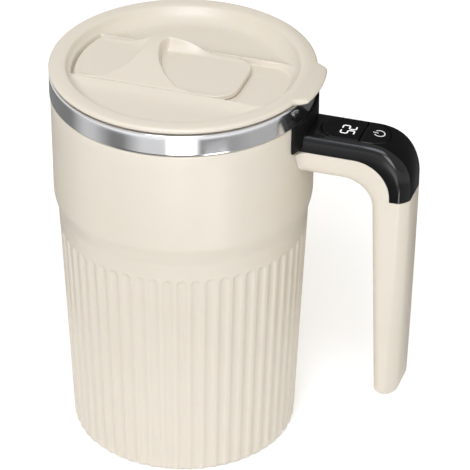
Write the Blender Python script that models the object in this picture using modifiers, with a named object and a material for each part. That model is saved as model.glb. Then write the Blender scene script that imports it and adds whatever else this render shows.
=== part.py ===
"""Self-stirring mug: a steel cup in a fluted shell, driven by a magnet motor in its base,
with a lift-off lid, a sliding sip cover and a handle that holds a display and a button.

Metres, +Z up. The cup's axis is Z, the handle points along +X, and the foot stands on Z = 0.
"""

import math

import bmesh
import bpy

# Fits
SEAT_GAP = 0.0003
SLIDE_GAP = 0.0003
RUNNING_GAP = 0.00006
LOOSE_GAP = 0.0006
OVERRUN = 0.004

# Steel cup liner, whose folded rim shows as the band
RIM_HEIGHT = 0.13565
RIM_RADIUS = 0.0441
BAND_HEIGHT = 0.0076
STEEL_WALL = 0.0008
LINER_UNDERSIDE = 0.036
LINER_CORNER = 0.005
CUP_GAP = 0.0014
FLOOR_GAP = 0.0018

# Outer shell, with its step and its flutes
BAND_PROUD = 0.0003
SHOULDER_TAPER = 0.0004
STEP_DEPTH = 0.0015
BASE_TAPER = 0.0039
STEP_DROP = 0.04315
STEP_LENGTH = 0.008
UPPER_WALL = 0.0018
LOWER_WALL = 0.0016
SPIGOT_HEIGHT = 0.0032
SPIGOT_WALL = 0.0014
SHELL_LIFT = 0.0004
SHELL_CORNER = 0.0024
FLUTE_COUNT = 55
FLUTE_DEPTH = 0.0006
FLUTE_TOP_DROP = 0.0049
FLUTE_FADE = 0.0022
RIDGE_WIDTH_share = 0.26

# Base: foot, cover, ledge, frame and screws
FOOT_THICKNESS = 0.0012
FOOT_INSET = 0.0012
COVER_THICKNESS = 0.0025
OPENING_INSET = 0.0034
LEDGE_WIDTH = 0.0026
LEDGE_THICKNESS = 0.0015
FRAME_WALL = 0.0016
FRAME_PLATE = 0.002
MAGNET_SPACE = 0.006
POST_RADIUS = 0.0034
BASE_SCREW_ANGLES = (30, 150, 270)
SCREW_RADIUS = 0.0011
SCREW_HEAD_RADIUS = 0.0023
SCREW_HEAD_HEIGHT = 0.0012
BASE_SCREW_LENGTH = 0.009

# Boards, battery, charging socket and probe in the base
RIB_INSET = 0.0039
RIB_WIDTH = 0.0014
RIB_HEIGHT = 0.0037
BOARD_THICKNESS = 0.0012
BOARD_INSET = 0.0046
BATTERY_LENGTH_share = 0.5
BATTERY_INSET = 0.0038
BATTERY_THICKNESS = 0.010
BATTERY_ROUND = 0.002
SOCKET_WIDTH = 0.009
SOCKET_DEPTH = 0.0073
SOCKET_HEIGHT = 0.0032
SOCKET_WALL = 0.0004
SOCKET_TONGUE = 0.0007
PORT_WIDTH = 0.0125
PORT_HEIGHT = 0.007
PORT_ROUND = 0.003
PROBE_RADIUS = 0.0022
PROBE_GAP = 0.0005
SUPPORT_INSET = 0.0008
SUPPORT_WIDTH = 0.003

# Motor and magnet carrier
MOTOR_RADIUS = 0.012
MOTOR_HEIGHT = 0.0142
MOTOR_BOSS_RADIUS = 0.003
MOTOR_SCREW_PLACE = 0.008
MOTOR_SCREW_REACH = 0.0022
SHAFT_RADIUS = 0.001
SHAFT_DEPTH = 0.0115
CARRIER_RADIUS = 0.0145
CARRIER_HEIGHT = 0.0032
CARRIER_LIFT = 0.0018
DRIVE_MAGNET_RADIUS = 0.003
DRIVE_MAGNET_HEIGHT = 0.002
DRIVE_MAGNET_PLACE = 0.0095

# Stirrer in the cup
PIVOT_RADIUS = 0.0015
PIVOT_HEIGHT = 0.0086
PIVOT_FLANGE_RADIUS = 0.004
PIVOT_FLANGE_HEIGHT = 0.0008
STIRRER_RADIUS = 0.015
STIRRER_DISC = 0.0034
STIRRER_HUB_RADIUS = 0.0038
STIRRER_HUB_HEIGHT = 0.0072
STIR_MAGNET_RADIUS = 0.0028
STIR_MAGNET_HEIGHT = 0.0018
STIR_MAGNET_INSET = 0.0055
VANE_HEIGHT = 0.0095
VANE_THICKNESS = 0.0018

# Lid
LID_OVERHANG = 0.0001
FLANGE_THICKNESS = 0.0024
FLANGE_WIDTH = 0.0054
FLANGE_ROUND = 0.0009
DISH_DEPTH = 0.0052
DISH_WALL_RUN = 0.007
LID_WALL = 0.0018
SKIRT_GAP = 0.0005
SKIRT_WALL = 0.0022
SKIRT_DEPTH = 0.0122
GASKET_DROP = 0.0067
GASKET_HEIGHT = 0.0022
GASKET_DEPTH = 0.0011
TAB_REACH = 0.0032
TAB_THICKNESS = 0.0016
TAB_TIP_ANGLE = 11
TAB_ROOT_ANGLE = 18.5

# Sliding sip cover and its track
SLIDER_DROP = 0.0032
SLIDER_THICKNESS = 0.0015
SLIDER_HALF_WIDTH = 0.0136
SLIDER_INSET = 0.00315
SLIDER_END_GAP = 0.0009
SLIDER_CORNER = 0.008
SLIDER_TRAVEL = 0.0135
TRACK_MOAT = 0.0009
TRACK_SIDE = 0.0012
LAND_SLOPE_ratio = 3.5
TONGUE_DEPTH = 0.0013
TONGUE_THICKNESS = 0.0006
TONGUE_LEFT_INSET = 0.0074
TONGUE_RIGHT_INSET = 0.0195
RIDGE_HEIGHT = 0.0043
RIDGE_PLACE = 0.0125
RIDGE_SPAN = 0.01
RIDGE_EDGE = 0.001
RIDGE_LEVEL_share = 0.45
# Rows of the thumb ridge from the front to the back: share of the half-width across, then shares of
# the ridge's span: its left edge, right edge, left wing and right wing, then the wings' share of height
RIDGE_ROW_shares = (
    (-1.0, 1.57, 2.1, 0.1, 0.1, 0),
    (-0.9, 1.17, 1.5, 0.1, 0.1, 0),
    (-0.7, 0.87, 1.12, 0.1, 0.1, 0),
    (-0.5, 0.64, 0.85, 0.15, 0.2, 0),
    (-0.25, 0.49, 0.6, 0.3, 0.5, 0),
    (0, 0.4, 0.41, 0.5, 0.9, 0),
    (0.25, 0.33, 0.28, 0.7, 1.3, 0),
    (0.5, 0.28, 0.21, 0.85, 1.5, 0),
    (0.68, 0.24, 0.18, 0.95, 1.6, 0.12),
    (0.82, 0.21, 0.2, 1.0, 1.6, 0.35),
    (0.92, 0.18, 0.24, 1.0, 1.6, 0.68),
    (1.0, 0.17, 0.27, 1.0, 1.6, 1.0),
)
# The wings along the back edge: share of the wing's length and share of the ridge's height
LEFT_WING_shares = ((0, 0.78), (0.14, 0.6), (0.33, 0.38), (0.56, 0.18), (0.78, 0.05), (1, 0))
RIGHT_WING_shares = ((0, 0.98), (0.33, 0.84), (0.55, 0.56), (0.7, 0.28), (0.85, 0.07), (1, 0))
SIP_HOLE_LENGTH = 0.0062
SIP_HOLE_WIDTH = 0.012
SIP_HOLE_INSET = 0.0064
SIP_SEAL_WIDTH = 0.0013
SIP_SEAL_DEPTH = 0.0008

# Handle: an arm, a bend and a grip that is open at its lower end
HANDLE_REACH = 0.0359
HANDLE_HALF_WIDTH = 0.0089
HANDLE_EDGE = 0.0024
ARM_DROP = 0.01245
ARM_DEPTH = 0.0145
OUTER_BEND = 0.0138
INNER_BEND = 0.0098
GRIP_THICKNESS = 0.0129
GRIP_TIP_THICKNESS = 0.0085
GRIP_TIP_LEAN = 0.002
GRIP_TIP_HEIGHT = 0.0258
GRIP_TIP_ROUND = 0.004

# Black cap over the arm, with the display window and the button
CAP_DEPTH = 0.0061
CAP_GRIP_DEPTH = 0.0062
CAP_BEND = 0.0124
CAP_TAIL = 0.0197
CAP_TOP_WALL = 0.0018
CAP_CAVITY_HALF_WIDTH = 0.0074
CAP_ROOT_WALL = 0.0022
SADDLE_HALF_WIDTH = 0.0138
SADDLE_THICKNESS = 0.0008
PANEL_HALF_WIDTH = 0.0064
PANEL_START = 0.0038
PANEL_PAST_BEND = 0.005
PANEL_PROUD = 0.0002
BUTTON_LENGTH = 0.00895
WINDOW_THICKNESS = 0.0012
WINDOW_LEDGE = 0.0011
BUTTON_TRAVEL = 0.0005
BUTTON_FLANGE = 0.0006
BUTTON_FLANGE_THICKNESS = 0.0009
BUTTON_STEM_RADIUS = 0.0016
CHANNEL_FLOOR = 0.004
CHANNEL_HALF_WIDTH = 0.006
MODULE_HALF_WIDTH = 0.0048
SWITCH_SIZE = 0.0045
SWITCH_BODY = 0.0017
SWITCH_PLUNGER_RADIUS = 0.001
HANDLE_SCREW_SIDE = 0.005
HANDLE_SCREW_LENGTH = 0.011
HANDLE_SCREW_HEAD = 0.001

# Cable from the base to the handle
CABLE_RADIUS = 0.0005
CABLE_HOLE = 0.0009
CABLE_LIFT = 0.0053
CABLE_START_INSET = 0.004
CABLE_RISE_INSET = 0.0053
CABLE_SAMPLES = 4

# Fineness of the round pieces
BODY_STEPS = 64
BASE_STEPS = 48
PIECE_STEPS = 24
SCREW_STEPS = 12
ARC_STEPS = 6

# Levels and radii that follow from the sizes above
STEP_TOP = RIM_HEIGHT - STEP_DROP
STEP_LOW = STEP_TOP - STEP_LENGTH
FLUTE_TOP = STEP_LOW - FLUTE_TOP_DROP
LINER_FLOOR = LINER_UNDERSIDE + STEEL_WALL
BAND_LOW = RIM_HEIGHT - BAND_HEIGHT
SHELL_TOP = BAND_LOW - SEAT_GAP
SHELL_TOP_RADIUS = RIM_RADIUS - BAND_PROUD
SHOULDER_RADIUS = SHELL_TOP_RADIUS - SHOULDER_TAPER
WAIST_RADIUS = SHOULDER_RADIUS - STEP_DEPTH
BASE_RADIUS = WAIST_RADIUS - BASE_TAPER
SHELL_INNER_TOP = SHOULDER_RADIUS - UPPER_WALL
MOUTH_RADIUS = SHELL_INNER_TOP - CUP_GAP - STEEL_WALL
OPENING_RADIUS = BASE_RADIUS - OPENING_INSET
LEDGE_RADIUS = OPENING_RADIUS - LEDGE_WIDTH
COVER_LOW = FOOT_THICKNESS + SEAT_GAP
COVER_TOP = COVER_LOW + COVER_THICKNESS
BOARD_RADIUS = OPENING_RADIUS - BOARD_INSET
LEDGE_LOW = COVER_TOP + SEAT_GAP
LEDGE_TOP = LEDGE_LOW + LEDGE_THICKNESS
BOARD_LOW = COVER_TOP + RIB_HEIGHT + SEAT_GAP
BOARD_TOP = BOARD_LOW + BOARD_THICKNESS
PLATE_TOP = LINER_UNDERSIDE - MAGNET_SPACE
PLATE_LOW = PLATE_TOP - FRAME_PLATE
POST_PLACE = LEDGE_RADIUS - POST_RADIUS - LOOSE_GAP
RIB_RADIUS = POST_PLACE - POST_RADIUS - RIB_INSET
CABLE_START = BOARD_RADIUS - CABLE_START_INSET
MOTOR_TOP = PLATE_LOW - SEAT_GAP
MOTOR_LOW = MOTOR_TOP - MOTOR_HEIGHT
CARRIER_LOW = PLATE_TOP + CARRIER_LIFT
CARRIER_TOP = CARRIER_LOW + CARRIER_HEIGHT
PIVOT_LOW = LINER_FLOOR + SEAT_GAP
STIRRER_LOW = PIVOT_LOW + PIVOT_FLANGE_HEIGHT + SEAT_GAP
LID_SEAT = RIM_HEIGHT + SEAT_GAP
LID_RADIUS = RIM_RADIUS + LID_OVERHANG
LID_TOP = LID_SEAT + FLANGE_THICKNESS
DISH_FLOOR = LID_TOP - DISH_DEPTH
LID_UNDERSIDE = DISH_FLOOR - LID_WALL
SKIRT_RADIUS = MOUTH_RADIUS - SKIRT_GAP
SKIRT_INNER = SKIRT_RADIUS - SKIRT_WALL
SKIRT_LOW = RIM_HEIGHT - SKIRT_DEPTH
SLIDER_LEFT_RADIUS = LID_RADIUS - FLANGE_WIDTH - SLIDER_INSET
SLIDER_RIGHT = SLIDER_LEFT_RADIUS - SLIDER_TRAVEL - SLIDER_END_GAP
SIP_HOLE_PLACE = SLIDER_LEFT_RADIUS - SIP_HOLE_INSET
TONGUE_LEFT = SLIDER_LEFT_RADIUS - TONGUE_LEFT_INSET
TONGUE_RIGHT = SLIDER_RIGHT - TONGUE_RIGHT_INSET
SLIDER_TOP = LID_TOP - SLIDER_DROP
SLIDER_LOW = SLIDER_TOP - SLIDER_THICKNESS
TRACK_HALF_WIDTH = SLIDER_HALF_WIDTH + SLIDE_GAP
GRIP_OUTER = RIM_RADIUS + HANDLE_REACH
ARM_TOP = RIM_HEIGHT - ARM_DROP
ARM_LOW = ARM_TOP - ARM_DEPTH
CAP_LINE = ARM_TOP - CAP_DEPTH
BEND_X = GRIP_OUTER - OUTER_BEND
BEND_Z = ARM_TOP - OUTER_BEND
CAVITY_LEFT = RIM_RADIUS + CAP_ROOT_WALL
CAVITY_TOP = ARM_TOP - CAP_TOP_WALL
PANEL_LEFT = RIM_RADIUS + PANEL_START
PANEL_RIGHT = BEND_X + PANEL_PAST_BEND
BUTTON_LEFT = PANEL_RIGHT - BUTTON_LENGTH
WINDOW_RIGHT = BUTTON_LEFT - SEAT_GAP
BUTTON_X = (BUTTON_LEFT + PANEL_RIGHT) / 2
CAVITY_RIGHT = PANEL_RIGHT + BUTTON_FLANGE + LOOSE_GAP
CHANNEL_LOW = ARM_LOW + CHANNEL_FLOOR
HANDLE_BOARD_LOW = CHANNEL_LOW + SEAT_GAP
HANDLE_BOARD_TOP = HANDLE_BOARD_LOW + BOARD_THICKNESS
WINDOW_TOP = ARM_TOP + PANEL_PROUD
WINDOW_LOW = WINDOW_TOP - WINDOW_THICKNESS
SCREW_HEIGHT = ARM_LOW + CHANNEL_FLOOR / 2
CABLE_HEIGHT = ARM_LOW + CABLE_LIFT


def clear_scene():
    """Removes every object, and makes one collection for the mug and one for its cutters."""
    for obj in list(bpy.data.objects):
        bpy.data.objects.remove(obj, do_unlink=True)
    made = []
    for name in ("self_stirring_mug", "mug_cutters"):
        collection = bpy.data.collections.new(name)
        bpy.context.scene.collection.children.link(collection)
        made.append(collection)
    return made


def finish(name, colour, roughness, metallic=0.0):
    """One Principled material."""
    made = bpy.data.materials.new(name)
    made.use_nodes = True
    shader = made.node_tree.nodes["Principled BSDF"]
    shader.inputs["Base Color"].default_value = (*colour, 1.0)
    shader.inputs["Roughness"].default_value = roughness
    shader.inputs["Metallic"].default_value = metallic
    return made


PARTS, CUTTERS = clear_scene()
CREAM = finish("cream_plastic", (0.79, 0.74, 0.64), 0.42)
BLACK = finish("gloss_black_plastic", (0.008, 0.008, 0.009), 0.12)
STEEL = finish("brushed_steel", (0.62, 0.62, 0.63), 0.24, 1.0)
CLEAR_SILICONE = finish("pale_silicone", (0.72, 0.70, 0.66), 0.6)
GREY_SILICONE = finish("grey_silicone", (0.10, 0.10, 0.10), 0.7)
GREY_PLASTIC = finish("grey_plastic", (0.16, 0.16, 0.17), 0.55)
WHITE_PLASTIC = finish("white_plastic", (0.80, 0.80, 0.80), 0.5)
BOARD_GREEN = finish("board_green", (0.02, 0.16, 0.06), 0.45)
MAGNET = finish("nickel_magnet", (0.55, 0.54, 0.52), 0.3, 1.0)
BATTERY_WRAP = finish("battery_wrap", (0.05, 0.13, 0.42), 0.4)
DARK_WINDOW = finish("dark_window", (0.004, 0.004, 0.005), 0.06)
CABLE_JACKET = finish("cable_jacket", (0.02, 0.02, 0.02), 0.5)


def place(name, mesh, look):
    """Links a mesh as a named part, or as a hidden cutter when it has no material."""
    obj = bpy.data.objects.new(name, mesh)
    if look is None:
        CUTTERS.objects.link(obj)
        obj.hide_render = True
        obj.display_type = "WIRE"
    else:
        PARTS.objects.link(obj)
        mesh.materials.append(look)
    mesh.shade_smooth()
    mesh.set_sharp_from_angle(angle=math.radians(32))
    return obj


def turned(name, profile, look=None, steps=PIECE_STEPS, closed=False):
    """A profile of (radius, height) turned about Z. It runs down its outer side."""
    mesh = bpy.data.meshes.new(name)
    count = len(profile)
    edges = [(i, i + 1) for i in range(count - 1)]
    if closed:
        edges.append((count - 1, 0))
    mesh.from_pydata([(radius, 0, height) for radius, height in profile], edges, [])
    obj = place(name, mesh, look)
    screw = obj.modifiers.new("turn", "SCREW")
    screw.steps = steps
    screw.render_steps = steps
    screw.use_merge_vertices = True
    screw.merge_threshold = 0.00001
    screw.use_smooth_shade = True
    return obj


def ring(name, inner, outer, low, high, look=None, steps=PIECE_STEPS):
    """A turned ring with a rectangular section."""
    profile = [(inner, high), (outer, high), (outer, low), (inner, low)]
    return turned(name, profile, look, steps, closed=True)


def rod(name, radius, start, end, look=None, steps=PIECE_STEPS, x=0, y=0, axis="Z"):
    """A cylinder along Z through (x, y), or along X through (y, z = x)."""
    mesh = bpy.data.meshes.new(name)
    shape = bmesh.new()
    bmesh.ops.create_cone(
        shape, cap_ends=True, segments=steps, radius1=radius, radius2=radius, depth=end - start
    )
    shape.to_mesh(mesh)
    shape.free()
    obj = place(name, mesh, look)
    middle = (start + end) / 2
    if axis == "Z":
        obj.location = (x, y, middle)
    else:
        obj.rotation_euler = (0, math.radians(90), 0)
        obj.location = (middle, y, x)
    return obj


def block(name, low, high, look=None):
    """A box between two corners, with its sizes in its mesh."""
    mesh = bpy.data.meshes.new(name)
    shape = bmesh.new()
    bmesh.ops.create_cube(shape, size=1)
    size = [b - a for a, b in zip(low, high)]
    bmesh.ops.scale(shape, vec=size, verts=shape.verts)
    shape.to_mesh(mesh)
    shape.free()
    obj = place(name, mesh, look)
    obj.location = [(a + b) / 2 for a, b in zip(low, high)]
    return obj


def mesh_of(name, curve):
    """The mesh of a curve's solid, with its caps welded on and its faces turned outward."""
    guide = bpy.data.objects.new(name + "_guide", curve)
    CUTTERS.objects.link(guide)
    bpy.context.view_layer.update()
    graph = bpy.context.evaluated_depsgraph_get()
    mesh = bpy.data.meshes.new_from_object(guide.evaluated_get(graph))
    bpy.data.objects.remove(guide, do_unlink=True)
    mesh.name = name
    shape = bmesh.new()
    shape.from_mesh(mesh)
    bmesh.ops.remove_doubles(shape, verts=shape.verts, dist=0.00001)
    bmesh.ops.recalc_face_normals(shape, faces=shape.faces)
    shape.to_mesh(mesh)
    shape.free()
    mesh.materials.clear()
    return mesh


def outline(name, points, low, high, look=None, upright=False):
    """A flat outline in XY between two heights, or in XZ between two values of Y."""
    curve = bpy.data.curves.new(name, "CURVE")
    curve.dimensions = "2D"
    curve.fill_mode = "BOTH"
    curve.extrude = (high - low) / 2
    spline = curve.splines.new("POLY")
    spline.points.add(len(points) - 1)
    for point, (a, b) in zip(spline.points, points):
        point.co = (a, b, 0, 1)
    spline.use_cyclic_u = True
    obj = place(name, mesh_of(name, curve), look)
    middle = (low + high) / 2
    if upright:
        obj.rotation_euler = (math.radians(90), 0, 0)
        obj.location = (0, middle, 0)
    else:
        obj.location = (0, 0, middle)
    return obj


def combine(obj, other, operation):
    """Adds one exact Boolean."""
    boolean = obj.modifiers.new(operation.lower() + "_" + other.name, "BOOLEAN")
    boolean.operation = operation
    boolean.solver = "EXACT"
    boolean.object = other


def cut(obj, *others):
    for other in others:
        combine(obj, other, "DIFFERENCE")


def join(obj, *others):
    for other in others:
        combine(obj, other, "UNION")


def keep(obj, *others):
    for other in others:
        combine(obj, other, "INTERSECT")


def round_edges(obj, width, segments=2, angle=50):
    bevel = obj.modifiers.new("edges", "BEVEL")
    bevel.width = width
    bevel.segments = segments
    bevel.limit_method = "ANGLE"
    bevel.angle_limit = math.radians(angle)


def arc(x, y, radius, start, end, steps=ARC_STEPS, height=None):
    """Points of a round arc in degrees, or of an oval one with its own height."""
    height = radius if height is None else height
    points = []
    for i in range(steps + 1):
        angle = math.radians(start + (end - start) * i / steps)
        points.append((x + radius * math.cos(angle), y + height * math.sin(angle)))
    return points


def around(radius, degrees):
    angle = math.radians(degrees)
    return radius * math.cos(angle), radius * math.sin(angle)


def shell_radius(height):
    """Outer radius of the shell over its ridges."""
    if height >= STEP_TOP:
        share = (height - STEP_TOP) / (SHELL_TOP - STEP_TOP)
        return SHOULDER_RADIUS + (SHELL_TOP_RADIUS - SHOULDER_RADIUS) * share
    if height >= STEP_LOW:
        share = (height - STEP_LOW) / (STEP_TOP - STEP_LOW)
        return WAIST_RADIUS + STEP_DEPTH * (1 - math.cos(math.pi * share)) / 2
    return BASE_RADIUS + BASE_TAPER * height / STEP_LOW


def shell_inner(height):
    """Inner radius of the shell's lower wall."""
    return shell_radius(height) - FLUTE_DEPTH - LOWER_WALL


def support_radius():
    """Outer radius of the ring under the flat of the liner's floor."""
    return shell_inner(LINER_UNDERSIDE + LINER_CORNER) - FLOOR_GAP - LINER_CORNER - SUPPORT_INSET


def cable_rise():
    """Radius at which the cable goes up through the frame's plate."""
    return shell_inner(PLATE_TOP) - CABLE_RISE_INSET


def liner_outer(height):
    """Outer radius of the liner's wall, which widens evenly to its mouth."""
    low = LINER_UNDERSIDE + LINER_CORNER
    floor_radius = shell_inner(low) - FLOOR_GAP
    share = (height - low) / (BAND_LOW - low)
    return floor_radius + (MOUTH_RADIUS + STEEL_WALL - floor_radius) * share


def shell_outside():
    """The shell's outside as one loft: scalloped rings, then round ones with half the points."""
    low_fade = SHELL_LIFT + SHELL_CORNER
    rings = [
        (SHELL_LIFT, shell_radius(SHELL_LIFT) - SHELL_CORNER, 0),
        (SHELL_LIFT + SHELL_CORNER / 3, shell_radius(0) - SHELL_CORNER / 4, 0.5),
        (low_fade, shell_radius(low_fade), 1),
        (FLUTE_TOP - FLUTE_FADE, shell_radius(FLUTE_TOP - FLUTE_FADE), 1),
        (FLUTE_TOP, shell_radius(FLUTE_TOP), 0),
    ]
    round_rings = []
    for i in range(6):
        height = STEP_LOW + (STEP_TOP - STEP_LOW) * i / 5
        round_rings.append((height, shell_radius(height)))
    round_rings.append((SHELL_TOP, SHELL_TOP_RADIUS))
    round_rings.append((SHELL_TOP, SHELL_INNER_TOP + SPIGOT_WALL))
    round_rings.append((SHELL_TOP + SPIGOT_HEIGHT, SHELL_INNER_TOP + SPIGOT_WALL))
    pitch = 2 * math.pi / FLUTE_COUNT
    ridge = pitch * RIDGE_WIDTH_share / 2
    quarter = (pitch / 2 - ridge) / 2
    places = ((-ridge, 0), (ridge, 0), (ridge + quarter, 1), (pitch - ridge - quarter, 1))
    shape = bmesh.new()
    rows = []
    for height, radius, depth in rings:
        row = []
        for flute in range(FLUTE_COUNT):
            for turn, sunk in places:
                x, y = around(radius - FLUTE_DEPTH * depth * sunk, math.degrees(flute * pitch + turn))
                row.append(shape.verts.new((x, y, height)))
        rows.append(row)
    for height, radius in round_rings:
        row = []
        for flute in range(FLUTE_COUNT):
            for turn, _ in places[::2]:
                x, y = around(radius, math.degrees(flute * pitch + turn))
                row.append(shape.verts.new((x, y, height)))
        rows.append(row)
    for lower, upper in zip(rows, rows[1:]):
        ratio = len(lower) // len(upper)
        for i in range(len(upper)):
            after = (i + 1) % len(upper)
            under = [lower[(i * ratio + k) % len(lower)] for k in range(ratio + 1)]
            shape.faces.new((*under, upper[after], upper[i]))
    shape.faces.new(reversed(rows[0]))
    shape.faces.new(rows[-1])
    mesh = bpy.data.meshes.new("outer_shell")
    shape.to_mesh(mesh)
    shape.free()
    return place("outer_shell", mesh, CREAM)


def port_cutter():
    """The recess at the back of the base that a charging plug goes into."""
    middle = BOARD_TOP + SEAT_GAP + SOCKET_HEIGHT / 2
    half = PORT_WIDTH / 2 - PORT_ROUND
    tall = PORT_HEIGHT / 2 - PORT_ROUND
    corners = ((half, tall, 0), (-half, tall, 90), (-half, -tall, 180), (half, -tall, 270))
    points = []
    for y, z, start in corners:
        points += arc(y, z, PORT_ROUND, start, start + 90, 4)
    back = BASE_RADIUS + OVERRUN
    cutter = outline("port_cutter", points, BOARD_RADIUS + SEAT_GAP, back)
    cutter.rotation_euler = (math.radians(90), 0, math.radians(-90))
    cutter.location = (-(BOARD_RADIUS + SEAT_GAP + back) / 2, 0, middle)
    return cutter


def outer_shell(port):
    shell = shell_outside()
    inside = [(0, SHELL_TOP + SPIGOT_HEIGHT + OVERRUN)]
    inside.append((SHELL_INNER_TOP, SHELL_TOP + SPIGOT_HEIGHT + OVERRUN))
    inside.append((SHELL_INNER_TOP, STEP_TOP))
    inside.append((shell_inner(STEP_LOW), STEP_LOW))
    inside.append((shell_inner(LEDGE_TOP), LEDGE_TOP))
    inside.append((LEDGE_RADIUS, LEDGE_TOP))
    inside.append((LEDGE_RADIUS, LEDGE_LOW))
    inside.append((OPENING_RADIUS, LEDGE_LOW))
    inside.append((OPENING_RADIUS, -OVERRUN))
    inside.append((0, -OVERRUN))
    cut(shell, turned("shell_inside", inside, steps=BODY_STEPS), port)
    for side in (-1, 1):
        cut(shell, handle_screw_hole(side, "shell"))
    cut(shell, cable_hole("shell"))
    return shell


def handle_screw_hole(side, owner):
    name = f"{owner}_handle_screw_hole_{'left' if side > 0 else 'right'}"
    end = RIM_RADIUS + HANDLE_SCREW_LENGTH
    radius = SCREW_RADIUS + SEAT_GAP
    start = SHELL_INNER_TOP - OVERRUN / 2
    return rod(
        name, radius, start, end, None, SCREW_STEPS, SCREW_HEIGHT, side * HANDLE_SCREW_SIDE, "X"
    )


def cable_hole(owner):
    start = SHELL_INNER_TOP - OVERRUN / 2
    end = CAVITY_LEFT + OVERRUN / 2
    return rod(f"{owner}_cable_hole", CABLE_HOLE, start, end, None, SCREW_STEPS, CABLE_HEIGHT, 0, "X")


def cup_liner():
    """The cup's steel wall, its floor, and the rim folded out and down as the band."""
    low = LINER_UNDERSIDE
    corner_height = low + LINER_CORNER
    wall = liner_outer(corner_height)
    profile = [(0, LINER_FLOOR)]
    inside_corner = LINER_CORNER - STEEL_WALL
    for radius, height in arc(wall - LINER_CORNER, corner_height, inside_corner, -90, 0, 4):
        profile.append((radius, height))
    profile.append((MOUTH_RADIUS, BAND_LOW))
    profile.append((MOUTH_RADIUS, RIM_HEIGHT - STEEL_WALL))
    profile.append((MOUTH_RADIUS + STEEL_WALL, RIM_HEIGHT))
    profile.append((RIM_RADIUS - STEEL_WALL / 2, RIM_HEIGHT))
    profile.append((RIM_RADIUS, RIM_HEIGHT - STEEL_WALL / 2))
    profile.append((RIM_RADIUS, BAND_LOW))
    profile.append((RIM_RADIUS - STEEL_WALL, BAND_LOW))
    profile.append((RIM_RADIUS - STEEL_WALL, RIM_HEIGHT - STEEL_WALL))
    profile.append((MOUTH_RADIUS + STEEL_WALL, RIM_HEIGHT - STEEL_WALL))
    profile.append((MOUTH_RADIUS + STEEL_WALL, BAND_LOW))
    for radius, height in arc(wall - LINER_CORNER, corner_height, LINER_CORNER, 0, -90, 4):
        profile.append((radius, height))
    profile.append((0, low))
    turned("cup_liner", profile, STEEL, BODY_STEPS)
    gasket_low = SHELL_TOP + SPIGOT_HEIGHT + SEAT_GAP
    gasket_top = RIM_HEIGHT - STEEL_WALL - SEAT_GAP
    ring(
        "rim_gasket",
        SHELL_INNER_TOP,
        SHELL_INNER_TOP + SPIGOT_WALL,
        gasket_low,
        gasket_top,
        CLEAR_SILICONE,
        BASE_STEPS,
    )


def base():
    """Foot pad, bottom cover, its screws and the support ring under the cup."""
    cover_radius = OPENING_RADIUS - SEAT_GAP
    foot_radius = cover_radius - FOOT_INSET
    foot = [(0, FOOT_THICKNESS), (foot_radius - FOOT_THICKNESS / 3, FOOT_THICKNESS)]
    foot += [(foot_radius, FOOT_THICKNESS * 2 / 3), (foot_radius, 0), (0, 0)]
    turned("foot_pad", foot, GREY_SILICONE, BASE_STEPS)
    cover = [(0, COVER_TOP), (RIB_RADIUS - RIB_WIDTH, COVER_TOP)]
    cover.append((RIB_RADIUS - RIB_WIDTH, COVER_TOP + RIB_HEIGHT))
    cover.append((RIB_RADIUS, COVER_TOP + RIB_HEIGHT))
    cover += [(RIB_RADIUS, COVER_TOP), (cover_radius, COVER_TOP), (cover_radius, COVER_LOW), (0, COVER_LOW)]
    bottom = turned("base_cover", cover, GREY_PLASTIC, BASE_STEPS)
    sunk = SCREW_HEAD_HEIGHT + 2 * SEAT_GAP
    head_low = COVER_LOW + SEAT_GAP
    head_top = head_low + SCREW_HEAD_HEIGHT
    for number, degrees in enumerate(BASE_SCREW_ANGLES, 1):
        x, y = around(POST_PLACE, degrees)
        bore = SCREW_HEAD_RADIUS + SEAT_GAP
        cut(
            bottom,
            rod(f"cover_counterbore_{number}", bore, 0, COVER_LOW + sunk, None, SCREW_STEPS, x, y),
            rod(
                f"cover_hole_{number}", SCREW_RADIUS + SEAT_GAP, 0, LEDGE_TOP, None, SCREW_STEPS, x, y
            ),
        )
        profile = [(0, head_top + BASE_SCREW_LENGTH), (SCREW_RADIUS, head_top + BASE_SCREW_LENGTH)]
        profile += [(SCREW_RADIUS, head_top), (SCREW_HEAD_RADIUS, head_top)]
        profile += [(SCREW_HEAD_RADIUS, head_low), (0, head_low)]
        turned(f"base_screw_{number}", profile, STEEL, SCREW_STEPS).location = (x, y, 0)
    ring(
        "support_ring",
        support_radius() - SUPPORT_WIDTH,
        support_radius(),
        PLATE_TOP + SEAT_GAP,
        LINER_UNDERSIDE - SEAT_GAP,
        CLEAR_SILICONE,
        BASE_STEPS,
    )


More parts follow.
